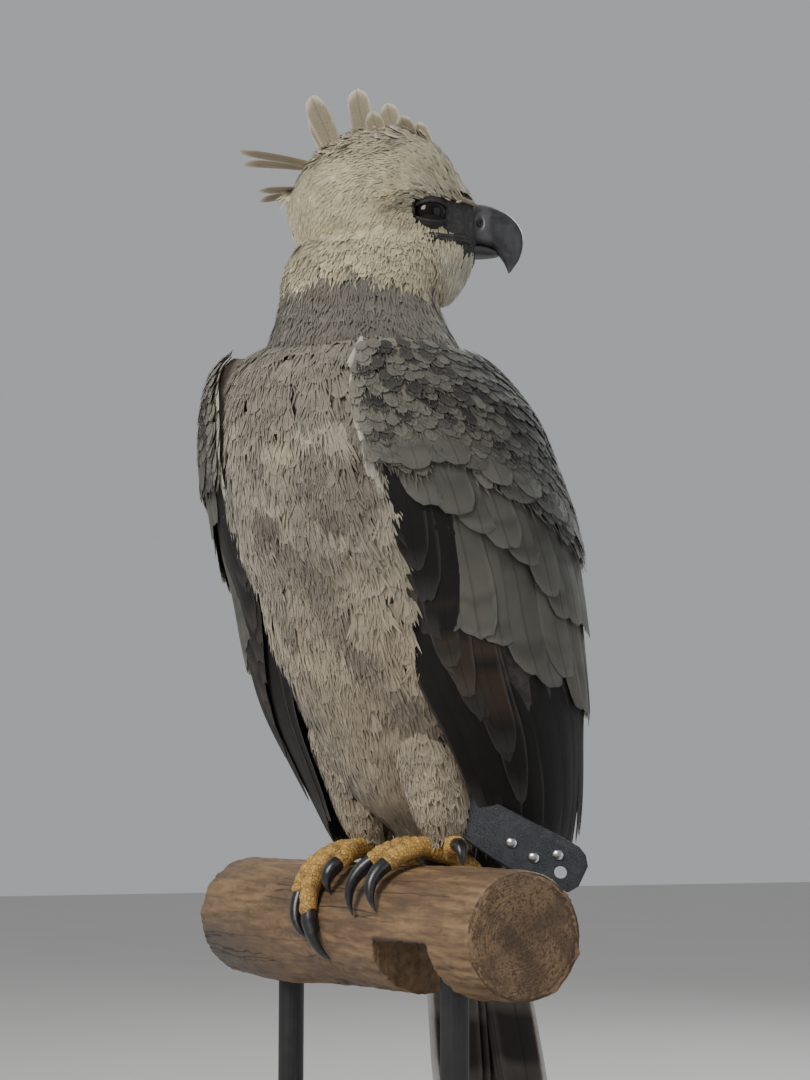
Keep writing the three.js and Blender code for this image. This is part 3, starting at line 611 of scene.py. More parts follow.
@dataclass(frozen=True)
class Vanes:
    """Many feathers of one kind, laid on a surface as closed thin vanes.

    Each feather is a grid of rows along it and columns across it, read on the surface, arched
    over its shaft, raised towards its tip, with a ragged end, and closed by a keel beneath.
    """

    surface: Surface
    lie: Lie
    rows: int = 4
    columns: int = 3
    thickness: float = 0.5
    arch: float = 0.1
    ragged: float = 0.06
    rounding: float = 0.3
    lift_root: float = -1.0
    lift_tip: float = 2.0
    curl: float = 0.0

    def grow(
        self, u: np.ndarray, v: np.ndarray, turn: np.ndarray, length: np.ndarray, width: np.ndarray,
        colour: np.ndarray, draw: np.random.Generator, raise_by: np.ndarray | float = 0.0,
    ) -> Mesh:
        """Makes the feathers.

        Args:
            u: Root positions along the surface's lie.
            v: Root positions round it.
            turn: Bearing of each feather from the lie, in radians.
            length: Lengths in millimetres.
            width: Full widths in millimetres.
            colour: One linear colour for each feather.
            draw: Seeded source of the variation.
            raise_by: Extra lift of each whole feather, in millimetres.

        Returns:
            One mesh of all the feathers.
        """
        count = len(u)
        along_step, across_step = self.surface.steps(u, v)
        s = np.linspace(0.0, 1.0, self.rows)
        c = np.linspace(-1.0, 1.0, self.columns)
        outline = np.array(self.lie.value)
        share = np.interp(s, outline[:, 0], outline[:, 1])
        half = 0.5 * width[:, None, None] * share[None, :, None] * c[None, None, :]
        notch = draw.uniform(
            -1.0, 1.0, size=(count, 1, self.columns),
        ) * self.ragged * (s > 0.7)[None, :, None]
        bow = (1.0 - np.sqrt(1.0 - 0.98 * c * c))[None, None, :] * (s ** 2.2)[None, :, None]
        reach = self.rounding * np.minimum(1.4 * width / length, 1.6)[:, None, None]
        run = length[:, None, None] * (s[None, :, None] - reach * bow + notch)
        cosine = np.cos(turn)[:, None, None]
        sine = np.sin(turn)[:, None, None]
        uu = u[:, None, None] - (run * cosine - half * sine) * along_step[:, None, None]
        vv = v[:, None, None] + (run * sine + half * cosine) * across_step[:, None, None]
        rise = self.lift_root + (self.lift_tip - self.lift_root) * s + self.curl * s ** 3
        extra = np.asarray(raise_by, dtype=float).reshape(-1, 1, 1)
        tilt = draw.uniform(-0.06, 0.06, size=(count, 1, 1)) * half * s[None, :, None]
        lift = rise[
            None, :, None
        ] + extra + tilt - self.arch * width[:, None, None] * share[None, :, None] * (
            c * c)[None, None, :]
        top = self.surface.point(uu, vv, lift)
        deep = (self.thickness + self.arch * width[:, None] * share * 0.6) * (1.0 - 0.75 * s ** 5)
        keel = self.surface.point(uu.mean(axis=-1), vv.mean(axis=-1), lift.max(axis=-1) - deep)
        return self.close(top, keel, colour, self.patch(u, v), s, c)

    def patch(self, u: np.ndarray, v: np.ndarray) -> np.ndarray:
        """Root places on the unwrap of the skin's own shape, one pair from 0 to 1 for each feather."""
        span = self.surface.high - self.surface.low
        return np.stack([np.mod(v / TAU, 1.0), np.clip((u - self.surface.low) / span, 0.0, 1.0)], axis=-1)

    def close(
        self, top: np.ndarray, keel: np.ndarray, colour: np.ndarray, patch: np.ndarray, s: np.ndarray,
        c: np.ndarray,
    ) -> Mesh:
        """Joins the upper grids and the keels into closed vanes with their maps.

        Args:
            top: Upper grids as (feather, row, column, 3).
            keel: Lines beneath them as (feather, row, 3).
            colour: One linear colour for each feather, or one for each of its rows.
            patch: Root places on the bake map.
            s: Shares of the length at the rows.
            c: Shares of the half width at the columns.

        Returns:
            The mesh.
        """
        count, rows, columns = top.shape[:3]
        size = rows * columns + rows
        grid = np.arange(rows * columns).reshape(rows, columns)
        under = rows * columns + np.arange(rows)
        faces = [
            np.stack([grid[:-1, :-1], grid[:-1, 1:], grid[1:, 1:], grid[1:, :-1]], axis=-1).reshape(-1, 4)
        ]
        faces.append(np.stack([grid[:-1, 0], grid[1:, 0], under[1:], under[:-1]], axis=-1))
        faces.append(np.stack([grid[1:, -1], grid[:-1, -1], under[:-1], under[1:]], axis=-1))
        caps = [np.stack([grid[0, 1:], grid[0, :-1], np.full(columns - 1, under[0])], axis=-1)]
        caps.append(np.stack([grid[-1, :-1], grid[-1, 1:], np.full(columns - 1, under[-1])], axis=-1))
        start = (np.arange(count) * size)[:, None, None]
        quads = (np.concatenate(faces)[None] + start).reshape(-1, 4)
        triangles = (np.concatenate(caps)[None] + start).reshape(-1, 3)
        points = np.concatenate([top.reshape(count, -1, 3), keel], axis=1).reshape(-1, 3)
        across = np.concatenate([np.tile(c * 0.5 + 0.5, rows), np.full(rows, 0.5)])
        along = np.concatenate([np.repeat(s, columns), s])
        uv = np.tile(np.stack([across, along], axis=-1), (count, 1))
        bake = patch[:, None, :] + 0.003 * (np.stack([across, along], axis=-1)[None] - 0.5)
        if colour.ndim == 2:
            shade = np.repeat(colour[:, None, :], size, axis=1)
        else:
            shade = np.concatenate([np.repeat(colour, columns, axis=1), colour], axis=1)
        # Feathers on the left-hand surfaces run the other way round, so each is turned by its own volume
        return outwards(
            Mesh(points, quads, triangles, uv, bake.reshape(-1, 2), shade.reshape(-1, 3), sharp=True)
        )


@dataclass(frozen=True)
class Rows:
    """Roots in staggered rows over a patch of a surface, as shingles lie."""

    low: float
    high: float
    start: float
    end: float
    spacing: float
    gap: float
    wobble: float = 0.3

    def roots(self, surface: Surface, draw: np.random.Generator) -> tuple[np.ndarray, np.ndarray]:
        """Root places.

        Args:
            surface: What the feathers grow on.
            draw: Seeded source of the variation.

        Returns:
            Positions along the lie and round the body.
        """
        found_u = []
        found_v = []
        u = self.low
        row = 0
        while u < self.high:
            middle = 0.5 * (self.start + self.end)
            probe = np.linspace(self.start, self.end, 24)
            ring = surface.point(np.full(24, u), probe)
            around = np.linalg.norm(np.diff(ring, axis=0), axis=1)
            travelled = np.concatenate([[0.0], np.cumsum(around)])
            count = max(int(travelled[-1] / self.gap), 3)
            shares = (
                np.arange(count) + 0.5 * (row % 2) + draw.uniform(-self.wobble, self.wobble, count)
            ) / count
            found_v.append(np.interp(shares * travelled[-1], travelled, probe))
            found_u.append(u + draw.uniform(-self.wobble, self.wobble, count) * self.spacing)
            step, _ = surface.steps(np.array([u]), np.array([middle]))
            u += self.spacing * min(float(step[0]), 1.0)
            row += 1
        return np.concatenate(found_u), np.concatenate(found_v)


@dataclass(frozen=True)
class Tufts:
    """Soft feathers: each a broad vane with a fan of fine barbs over it, all of one colour."""

    surface: Surface
    length: float
    width: float
    barbs: int = 9
    strand: float = 2.6
    spread: float = 0.34
    root: float = -1.6
    tip: float = 0.9
    loft: float = 1.2
    cover: float = 0.76

    def grow(
        self, u: np.ndarray, v: np.ndarray, turn: np.ndarray, size: np.ndarray, colour: np.ndarray,
        draw: np.random.Generator, raise_by: np.ndarray | float = 0.0,
    ) -> Mesh:
        """Makes the feathers.

        Args:
            u: Root positions along the surface's lie.
            v: Root positions round it.
            turn: Bearing of each feather from the lie, in radians.
            size: Size of each feather as a share of the full length and width.
            colour: One linear colour for each feather.
            draw: Seeded source of the variation.
            raise_by: Extra lift of each feather, in millimetres.

        Returns:
            One mesh of the vanes and the barbs.
        """
        count = len(u)
        lifted = np.broadcast_to(np.asarray(raise_by, dtype=float), (count,)) + draw.uniform(-0.3, 0.5, count)
        vane = Vanes(
            self.surface, Lie.BODY, rows=5, columns=5, lift_root=self.root, lift_tip=self.tip, arch=0.03,
            ragged=0.03,
        )
        base = vane.grow(u, v, turn, self.length * self.cover * size, self.width * size, colour, draw, lifted)
        share = np.tile(
            np.linspace(-1.0, 1.0, self.barbs), count,
        ) + draw.normal(0.0, 0.12, count * self.barbs)
        pick = np.repeat(np.arange(count), self.barbs)
        along_step, across_step = self.surface.steps(u, v)
        ahead = draw.uniform(0.1, 0.55, len(pick)) * self.length * size[pick]
        aside = 0.3 * share * self.width * size[pick]
        bearing = turn[pick]
        forward = ahead * np.cos(bearing) - aside * np.sin(bearing)
        across = ahead * np.sin(bearing) + aside * np.cos(bearing)
        barb = Vanes(
            self.surface, Lie.WISP, rows=4, columns=2, thickness=0.25, lift_root=self.root * 0.45,
            lift_tip=self.tip + 0.5,
            arch=0.0, ragged=0.0, rounding=0.0, curl=self.loft * 0.3,
        )
        reach = self.length * size[pick] * draw.uniform(0.5, 0.72, len(pick)) * (1.0 - 0.18 * share * share)
        tone = colour[pick] * np.exp(draw.normal(0.0, 0.035, len(pick)))[:, None]
        fan = barb.grow(
            u[pick] - forward * along_step[pick], v[pick] + across * across_step[pick],
            bearing + self.spread * share + draw.normal(0.0, 0.05, len(pick)), reach,
            self.strand * draw.uniform(0.7, 1.2, len(pick)), tone, draw,
            lifted[pick] + draw.uniform(0.0, 0.35 * self.loft, len(pick)),
        )
        return Mesh.joined([base, fan])


class Weaver:
    """Adds shader nodes to a tree and links what they are given."""

    def __init__(self, tree: bpy.types.NodeTree) -> None:
        """Works in one tree.

        Args:
            tree: A material's or a group's node tree.
        """
        self.tree = tree

    def add(self, kind: str, inputs: dict | None = None, **settings: object) -> bpy.types.Node:
        """One node.

        Args:
            kind: Node type without its ShaderNode prefix.
            inputs: Socket names or numbers, each with a value or with the socket that feeds it.
            settings: Properties of the node.

        Returns:
            The node.
        """
        node = self.tree.nodes.new("ShaderNode" + kind)
        for name, value in settings.items():
            setattr(node, name, value)
        for name, value in (inputs or {}).items():
            if isinstance(value, bpy.types.NodeSocket):
                self.tree.links.new(value, node.inputs[name])
            else:
                node.inputs[name].default_value = value
        return node

    def mix(self, factor: object, first: object, second: object, blend: str = "MIX") -> bpy.types.NodeSocket:
        """Colour mix of two colours."""
        node = self.add("Mix", {0: factor, 6: first, 7: second}, data_type="RGBA", blend_type=blend)
        return node.outputs[2]

    def math(
        self, operation: str, first: object, second: object = 0.0, third: object = 0.0,
    ) -> bpy.types.NodeSocket:
        """Arithmetic on one to three values."""
        return self.add("Math", {0: first, 1: second, 2: third}, operation=operation).outputs[0]

    def band(
        self, value: object, low: float, high: float, start: float = 0.0, end: float = 1.0,
    ) -> bpy.types.NodeSocket:
        """Smooth step of a value from start at low to end at high."""
        inputs = {"Value": value, "From Min": low, "From Max": high, "To Min": start, "To Max": end}
        return self.add("MapRange", inputs, interpolation_type="SMOOTHSTEP").outputs["Result"]

    def noise(
        self, place: object, scale: float, detail: float = 4.0, roughness: float = 0.55,
    ) -> bpy.types.NodeSocket:
        """Noise value at a place."""
        inputs = {"Vector": place, "Scale": scale, "Detail": detail, "Roughness": roughness}
        return self.add("TexNoise", inputs).outputs["Fac"]

    def object_place(self, stretch: tuple[float, float, float] = (1.0, 1.0, 1.0)) -> bpy.types.NodeSocket:
        """Object coordinates, stretched."""
        place = self.add("TexCoord").outputs["Object"]
        return self.add("Mapping", {"Vector": place, "Scale": stretch}).outputs["Vector"]

    def bump(
        self, height: object, strength: float, distance: float, normal: object | None = None,
    ) -> bpy.types.NodeSocket:
        """Bumped normal from a height."""
        inputs = {"Height": height, "Strength": strength, "Distance": distance}
        if normal is not None:
            inputs["Normal"] = normal
        return self.add("Bump", inputs).outputs["Normal"]


def paint(red: float, green: float, blue: float) -> tuple[float, float, float, float]:
    """A shader colour from 0-255 screen values."""
    return colour4(srgb(red, green, blue))


def colour4(colour: np.ndarray) -> tuple[float, float, float, float]:
    """A linear colour with full alpha, for a socket."""
    return (float(colour[0]), float(colour[1]), float(colour[2]), 1.0)


def group(name: str, inputs: dict[str, tuple[str, object]], outputs: dict[str, str]) -> tuple:
    """An empty node group with named sockets.

    Args:
        name: Name of the group.
        inputs: Socket name with its kind and first value.
        outputs: Socket name with its kind.

    Returns:
        The group, a Weaver in it, and its input and output nodes.
    """
    tree = bpy.data.node_groups.new(name, "ShaderNodeTree")
    for label, (kind, value) in inputs.items():
        socket = tree.interface.new_socket(label, in_out="INPUT", socket_type="NodeSocket" + kind)
        socket.default_value = value
    for label, kind in outputs.items():
        tree.interface.new_socket(label, in_out="OUTPUT", socket_type="NodeSocket" + kind)
    weaver = Weaver(tree)
    return tree, weaver, tree.nodes.new("NodeGroupInput"), tree.nodes.new("NodeGroupOutput")


class Effects(Enum):
    """Shared shader effects, each built once as a node group."""

    VANE = "feather_vane"
    WEAR = "surface_wear"

    def tree(self) -> bpy.types.NodeTree:
        """The group of this effect, built when it is first asked for."""
        found = bpy.data.node_groups.get(self.value)
        if found is not None:
            return found
        return {Effects.VANE: build_vane_group, Effects.WEAR: build_wear_group}[self]()

    def use(self, weaver: Weaver, inputs: dict[str, object]) -> bpy.types.Node:
        """Places the group in a material.

        Args:
            weaver: The material's Weaver.
            inputs: Socket names with values or sockets.

        Returns:
            The group's node.
        """
        node = weaver.tree.nodes.new("ShaderNodeGroup")
        node.node_tree = self.tree()
        for name, value in inputs.items():
            if isinstance(value, bpy.types.NodeSocket):
                weaver.tree.links.new(value, node.inputs[name])
            else:
                node.inputs[name].default_value = value
        return node


def build_vane_group() -> bpy.types.NodeTree:
    """Feather surface: a darker raised shaft down the middle, slanting barbs on both sides, a soft paler
    edge.

    Returns:
        The group, from the plume's own colour to a colour and a height.
    """
    tree, w, given, result = group(
        "feather_vane",
        {"Colour": ("Color", (0.5, 0.5, 0.5, 1.0)), "Barbs": ("Float", 60.0), "Shaft": ("Float", 0.3),
         "Edge": ("Float", 0.2), "Mottle": ("Float", 0.3)},
        {"Color": "Color", "Height": "Float"},
    )
    uv = w.add("UVMap", uv_map="Vane").outputs["UV"]
    split = w.add("SeparateXYZ", {"Vector": uv})
    aside = w.math("ABSOLUTE", w.math("SUBTRACT", split.outputs["X"], 0.5))
    slant = w.math("ADD", w.math("MULTIPLY", split.outputs["Y"], given.outputs["Barbs"]),
                   w.math("MULTIPLY", aside, w.math("MULTIPLY", given.outputs["Barbs"], -0.55)))
    ragged = w.noise(w.object_place(), 420.0, 2.0)
    barbs = w.math("SINE", w.math("ADD", w.math("MULTIPLY", slant, TAU), w.math("MULTIPLY", ragged, 7.0)))
    shaft = w.band(aside, 0.012, 0.045, 1.0, 0.0)
    edge = w.math("MAXIMUM", w.band(aside, 0.36, 0.5), w.band(split.outputs["Y"], 0.84, 1.0))
    blotch = w.noise(w.object_place((1.0, 1.0, 0.7)), 55.0, 5.0, 0.65)
    darker = w.band(blotch, 0.3, 0.7, 1.0, 0.0)
    shade = w.mix(w.math("MULTIPLY", darker, given.outputs["Mottle"]), given.outputs["Colour"],
                  w.mix(1.0, given.outputs["Colour"], (0.45, 0.43, 0.42, 1.0), "MULTIPLY"))
    streak = w.mix(
        w.band(barbs, -1.0, 1.0, 0.0, 0.22), shade, w.mix(1.0, shade, (0.55, 0.55, 0.55, 1.0), "MULTIPLY"),
    )
    lit = w.mix(w.math("MULTIPLY", edge, given.outputs["Edge"]), streak, (0.62, 0.58, 0.52, 1.0))
    quill = w.mix(
        w.math("MULTIPLY", shaft, given.outputs["Shaft"]), lit,
        w.mix(1.0, lit, (0.3, 0.28, 0.26, 1.0), "MULTIPLY"),
    )
    height = w.math("ADD", w.math("MULTIPLY", barbs, 0.3), w.math("MULTIPLY", shaft, 1.0))
    tree.links.new(quill, result.inputs["Color"])
    tree.links.new(height, result.inputs["Height"])
    return tree


def build_wear_group() -> bpy.types.NodeTree:
    """Wear and dust: large soft blotches with fine grain over them.

    Returns:
        The group, from a base and a worn colour to a colour, a mask and a height.
    """
    tree, w, given, result = group(
        "surface_wear",
        {"Base": ("Color", (0.5, 0.5, 0.5, 1.0)), "Worn": ("Color", (0.7, 0.7, 0.7, 1.0)),
         "Amount": ("Float", 0.4), "Scale": ("Float", 30.0)},
        {"Color": "Color", "Mask": "Float", "Height": "Float"},
    )
    place = w.object_place()
    broad = w.add(
        "TexNoise", {"Vector": place, "Scale": given.outputs["Scale"], "Detail": 5.0, "Roughness": 0.6},
    )
    fine = w.add("TexNoise", {
        "Vector": place, "Scale": w.math("MULTIPLY", given.outputs["Scale"], 9.0), "Detail": 3.0})
    mask = w.math("MULTIPLY", w.band(broad.outputs["Fac"], 0.42, 0.68), given.outputs["Amount"])
    tree.links.new(w.mix(mask, given.outputs["Base"], given.outputs["Worn"]), result.inputs["Color"])
    tree.links.new(mask, result.inputs["Mask"])
    tree.links.new(w.math("ADD", broad.outputs["Fac"], w.math("MULTIPLY", fine.outputs["Fac"], 0.5)),
                   result.inputs["Height"])
    return tree


def new_material(name: str) -> tuple[bpy.types.Material, Weaver, bpy.types.Node]:
    """A material with its Weaver and its Principled shader."""
    made = bpy.data.materials.new(name)
    made.use_nodes = True
    return made, Weaver(made.node_tree), made.node_tree.nodes["Principled BSDF"]


@dataclass(frozen=True)
class Plumage:
    """Feathers that take their colour from each plume."""

    name: str
    barbs: float = 26.0
    shaft: float = 0.25
    edge: float = 0.15
    mottle: float = 0.25
    roughness: float = 0.78
    sheen: float = 0.25
    bump: float = 0.35
    scatter: float = 0.3

    def material(self) -> bpy.types.Material:
        """The finish: plume colour through the vane group, barbs as bump, a soft sheen."""
        made, w, shader = new_material(self.name)
        plume = w.add("Attribute", attribute_name="Plume").outputs["Color"]
        vane = Effects.VANE.use(w, {"Colour": plume, "Barbs": self.barbs, "Shaft": self.shaft,
                                    "Edge": self.edge, "Mottle": self.mottle})
        w.tree.links.new(vane.outputs["Color"], shader.inputs["Base Color"])
        w.tree.links.new(w.bump(vane.outputs["Height"], self.bump, 0.0006), shader.inputs["Normal"])
        shader.inputs["Roughness"].default_value = self.roughness
        shader.inputs["Specular IOR Level"].default_value = 0.25
        shader.inputs["Sheen Weight"].default_value = self.sheen
        shader.inputs["Sheen Roughness"].default_value = 0.5
        shader.inputs["Subsurface Weight"].default_value = self.scatter
        shader.inputs["Subsurface Radius"].default_value = (1.0, 0.85, 0.7)
        shader.inputs["Subsurface Scale"].default_value = 0.004
        return made


@dataclass(frozen=True)
class Hide:
    """Bare skin, leather, horn and wood: a worn colour with fine relief.

    Where base is None, the mesh's own colour is used.
    """

    name: str
    base: tuple[float, float, float] | None
    worn: tuple[float, float, float]
    amount: float = 0.4
    scale: float = 60.0
    roughness: tuple[float, float] = (0.5, 0.65)
    cells: float = 0.0
    relief: float = 0.3
    coat: float = 0.0
    metallic: float = 0.0
    grain: tuple[float, float, float] = (1.0, 1.0, 1.0)

    def material(self) -> bpy.types.Material:
        """The finish: worn colour, roughness that follows the wear, and cells or grain as bump."""
        made, w, shader = new_material(self.name)
        if self.base is None:
            base = w.add("Attribute", attribute_name="Plume").outputs["Color"]
        else:
            base = paint(*self.base)
        wear = Effects.WEAR.use(w, {"Base": base, "Worn": paint(*self.worn),
                                    "Amount": self.amount, "Scale": self.scale})
        colour = wear.outputs["Color"]
        height = wear.outputs["Height"]
        if self.cells > 0.0:
            cell = w.add("TexVoronoi", {"Vector": w.object_place(self.grain), "Scale": self.cells},
                         feature="DISTANCE_TO_EDGE").outputs["Distance"]
            groove = w.band(cell, 0.0, 0.12)
            colour = w.mix(
                w.band(cell, 0.0, 0.1, 0.55, 0.0), colour,
                w.mix(1.0, colour, (0.35, 0.3, 0.26, 1.0), "MULTIPLY"),
            )
            height = w.math("ADD", w.math("MULTIPLY", groove, 1.4), w.math("MULTIPLY", height, 0.5))
        w.tree.links.new(colour, shader.inputs["Base Color"])
        rough = w.band(wear.outputs["Height"], 0.3, 1.1, self.roughness[0], self.roughness[1])
        w.tree.links.new(rough, shader.inputs["Roughness"])
        w.tree.links.new(w.bump(height, self.relief, 0.0008), shader.inputs["Normal"])
        shader.inputs["Metallic"].default_value = self.metallic
        shader.inputs["Coat Weight"].default_value = self.coat
        shader.inputs["Coat Roughness"].default_value = 0.25
        return made


def dress(piece: bpy.types.Object, material: bpy.types.Material, slot: str, *nodes: str) -> bpy.types.Object:
    """Gives a piece its finish and its body, and hides the model's nodes that it stands for.

    Args:
        piece: The new piece.
        material: Its finish.
        slot: The record's material slot; not used.
        nodes: Names of the model's nodes that it replaces.

    Returns:
        The piece.
    """
    piece.data.materials.clear()
    piece.data.materials.append(material)
    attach(piece, "root")
    if nodes:
        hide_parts(*nodes)
    log.info("%s: %d faces", piece.name, len(piece.data.polygons))
    return piece


class Tint(Enum):
    """Plumage colours, as screen values."""

    HEAD = (222, 210, 172)
    CROWN = (150, 141, 120)
    COLLAR = (142, 135, 120)
    BREAST = (184, 174, 154)
    BELLY = (192, 177, 150)
    SHADE = (120, 108, 98)
    MANTLE = (90, 88, 82)
    COVERT = (96, 95, 88)
    BLACK = (34, 32, 31)
    FLIGHT = (22, 20, 20)
    WHITE = (212, 206, 188)
    BROWN = (68, 54, 43)
    TAIL = (52, 48, 47)
    BAR = (112, 106, 100)

    @property
    def linear(self) -> np.ndarray:
        """The colour as linear values."""
        return srgb(*self.value)

    def over(self, shape: tuple[int, ...]) -> np.ndarray:
        """The colour repeated over an array of the given shape."""
        return np.broadcast_to(self.linear, shape)


def blend(first: np.ndarray, second: np.ndarray, share: np.ndarray | float) -> np.ndarray:
    """Colours from first to second, one for each share."""
    share = np.asarray(share, dtype=float)[..., None]
    return first * (1.0 - share) + second * share


def vary(colour: np.ndarray, amount: float, draw: np.random.Generator) -> np.ndarray:
    """Colours each made lighter or darker at random."""
    return colour * np.exp(draw.normal(0.0, amount, size=colour.shape[:1]))[:, None]


@dataclass(frozen=True)
class Skin:
    """One skin under the plumage of torso, neck, head and legs, inside them by the coat's depth."""

    depth: float = 5.0
    voxel: float = 4.5

    def build(self) -> bpy.types.Object:
        """Joins the five shapes into one closed surface.

        Returns:
            The skin, which stands for the flesh nodes.
        """
        shapes = (Torso(), Neck(), Skull(), Leg(Side.LEFT), Leg(Side.RIGHT))
        raw = Mesh.joined([rings_mesh(shape.loops(48, 64, -self.depth)) for shape in shapes]).build("skin")
        remesh = raw.modifiers.new("Joined", "REMESH")
        remesh.mode = "VOXEL"
        remesh.voxel_size = self.voxel * MM
        smooth = raw.modifiers.new("Smoothed", "SMOOTH")
        smooth.iterations = 3
        found = bpy.context.evaluated_depsgraph_get()
        joined = bpy.data.meshes.new_from_object(raw.evaluated_get(found))
        raw.modifiers.clear()
        raw.data = joined
        joined.polygons.foreach_set("use_smooth", np.ones(len(joined.polygons), dtype=bool))
        finish = Hide("skin_down", (96, 88, 82), (134, 124, 114), 0.8, 40.0, (0.8, 0.9), relief=0.5)
        return dress(
            raw, finish.material(), "breast_feathers", "torso", "neck", "head", "leg_left", "leg_right",
        )


def uncovered(points: np.ndarray, margin: np.ndarray | float) -> np.ndarray:
    """Whether places on the body lie clear of both wings.

    Args:
        points: Places on the body.
        margin: Degrees inside the wings' edges that still count as open.

    Returns:
        True where no wing lies over the place.
    """
    forward, side, height = CHEST.read(points)
    hidden = np.zeros(len(points), dtype=bool)
    for wing_side in Side:
        hidden |= WingSheet(wing_side).covers(forward, side, height, margin)
    return ~hidden


@dataclass(frozen=True)
class BodyCoat:
    """Breast, belly, flank and back feathers on the torso."""

    spacing: float = 15.0
    gap: float = 10.5
    length: float = 36.0
    width: float = 20.0

    def colours(self, points: np.ndarray, draw: np.random.Generator) -> np.ndarray:
        """Warm grey breast with soft darker patches, slate back.

        Args:
            points: Root places.
            draw: Seeded source of the variation.

        Returns:
            One linear colour for each root.
        """
        forward, side, height = CHEST.read(points)
        pale = blend(Tint.BREAST.linear, Tint.BELLY.linear, ease(height, 320.0, 180.0))
        patch = ease(waves(points, 130.0, 31), -0.05, 0.55) * 0.62
        small = ease(waves(points, 27.0, 32), 0.0, 0.6) * 0.34 * ease(height, 400.0, 330.0)
        front = blend(pale, Tint.SHADE.linear, np.clip(patch + small, 0.0, 0.9))
        streak = np.exp(-(side / 8.0) ** 2 - ((height - 358.0) / 17.0) ** 2)
        front = blend(front, Tint.HEAD.linear, streak * 0.7)
        centre = Torso.shape(height)[0]
        bearing = np.degrees(np.arctan2(np.abs(side), forward - centre))
        back = ease(bearing, 96.0, 128.0)[:, None]
        slate = blend(Tint.MANTLE.linear, Tint.BLACK.linear, ease(waves(points, 40.0, 33), -0.2, 0.5) * 0.7)
        collar = (ease(height + 14.0 * waves(points, 50.0, 38), 350.0, 408.0) * 0.95)[:, None]
        tinted = front * (1.0 - back) + slate * back
        return vary(tinted * (1.0 - collar) + Tint.COLLAR.linear * collar, 0.06, draw)

    def build(self) -> list[bpy.types.Object]:
        """Lays the feathers in shingled rows and leaves out what wings, head and legs hide.

        Returns:
            One piece for each half of the body.
        """
        draw = np.random.default_rng(SEED + 1)
        surface = Torso()
        u, v = Rows(34.0, 450.0, -math.pi, math.pi, self.spacing, self.gap, 0.42).roots(surface, draw)
        points = surface.point(u, v)
        tuck = np.interp(points[:, 2] - LOG_TOP, [300.0, 380.0, 430.0], [3.0, 4.0, 9.0])
        keep = uncovered(points, tuck) & (Skull().depth(points) > 1.0)
        u, v, points = u[keep], v[keep], points[keep]
        size = draw.uniform(0.82, 1.18, len(u)) * np.interp(u, [30.0, 120.0, 452.0], [0.9, 1.05, 0.9])
        material = Plumage("body_plumage", barbs=15.0, shaft=0.06, edge=0.04, mottle=0.2).material()
        colours = self.colours(points, draw)
        turn = draw.normal(0.0, 0.12, len(u))
        beside = ~uncovered(points, -8.0)
        size = size * np.where(beside, 0.78, 1.0)
        low = np.where(beside, -2.0, 0.0)
        tufts = Tufts(surface, self.length, self.width, barbs=11, strand=2.3)
        made = []
        for side in Side:
            half = np.sin(v) * side.value > 0.0
            mesh = tufts.grow(u[half], v[half], turn[half], size[half], colours[half], draw, low[half])
            made.append(dress(mesh.build("body_coat_" + side.label), material, "breast_feathers"))
        return made


@dataclass(frozen=True)
class Collar:
    """Soft darker ruff round the neck, from under the face to the shoulders."""

    spacing: float = 11.0
    gap: float = 9.0

    def over_edge(self, points: np.ndarray) -> np.ndarray:
        """How far points belong to the pale head, from 0 to 1: its edge falls from nape to chin.

        Args:
            points: Root places.

        Returns:
            A smooth step of the height over the edge, which waves a little.
        """
        forward, _, height = HEAD.read(points)
        return ease(height + 6.0 * waves(points, 22.0, 36) - (524.0 - 0.17 * (forward + 85.0)), -6.0, 6.0)

    def ruff(self, draw: np.random.Generator) -> Mesh:
        """Fine pale feathers of the head's lower edge, which hang over the neck.

        Args:
            draw: Seeded source of the variation.

        Returns:
            One mesh.
        """
        surface = Neck()
        u, v = Rows(494.0, 548.0, -math.pi, math.pi, 5.6, 5.4, 0.45).roots(surface, draw)
        points = surface.point(u, v)
        keep = self.over_edge(points) > draw.uniform(0.2, 0.9, len(u))
        u, v, points = u[keep], v[keep], points[keep]
        stand = np.interp(u, [500.0, 514.0, 530.0, 548.0], [0.5, 1.5, 2.5, 4.0])
        tufts = Tufts(surface, 21.0, 9.0, barbs=4, strand=1.8, spread=0.3, root=-1.0, tip=1.2, loft=1.2)
        colour = vary(Tint.HEAD.over(points.shape), 0.08, draw)
        colour = blend(colour, Tint.SHADE.linear, ease(waves(points, 44.0, 51), 0.05, 0.65) * 0.35)
        return tufts.grow(
            u, v, draw.normal(0.0, 0.2, len(u)), draw.uniform(0.8, 1.25, len(u)), colour, draw, stand,
        )

    def build(self) -> list[bpy.types.Object]:
        """Lays the ruff.

        Returns:
            One piece.
        """
        draw = np.random.default_rng(SEED + 2)
        surface = Neck()
        u, v = Rows(420.0, 546.0, -math.pi, math.pi, self.spacing, self.gap, 0.45).roots(surface, draw)
        points = surface.point(u, v)
        keep = (Torso().depth(points) > 0.97) & (Skull().depth(points) > 0.98)
        u, v, points = u[keep], v[keep], points[keep]
        size = draw.uniform(0.8, 1.2, len(u))
        ahead = ease(np.cos(v), 0.2, 0.9)
        colour = Tint.COLLAR.over(points.shape)
        colour = blend(Tint.MANTLE.over(colour.shape), colour, 0.5 + 0.5 * ahead)
        colour = blend(colour, Tint.SHADE.linear, ease(waves(points, 60.0, 35), 0.0, 0.6) * 0.35)
        colour = blend(colour, Tint.HEAD.linear, self.over_edge(points))
        tufts = Tufts(surface, 31.0, 18.0, barbs=9, strand=2.6)
        mesh = tufts.grow(u, v, draw.normal(0.0, 0.14, len(u)), size, vary(colour, 0.05, draw), draw)
        mesh = Mesh.joined([mesh, self.ruff(draw)])
        finish = Plumage("collar_plumage", barbs=14.0, shaft=0.05, edge=0.04, mottle=0.2)
        return [dress(mesh.build("collar_coat"), finish.material(), "collar_feathers")]


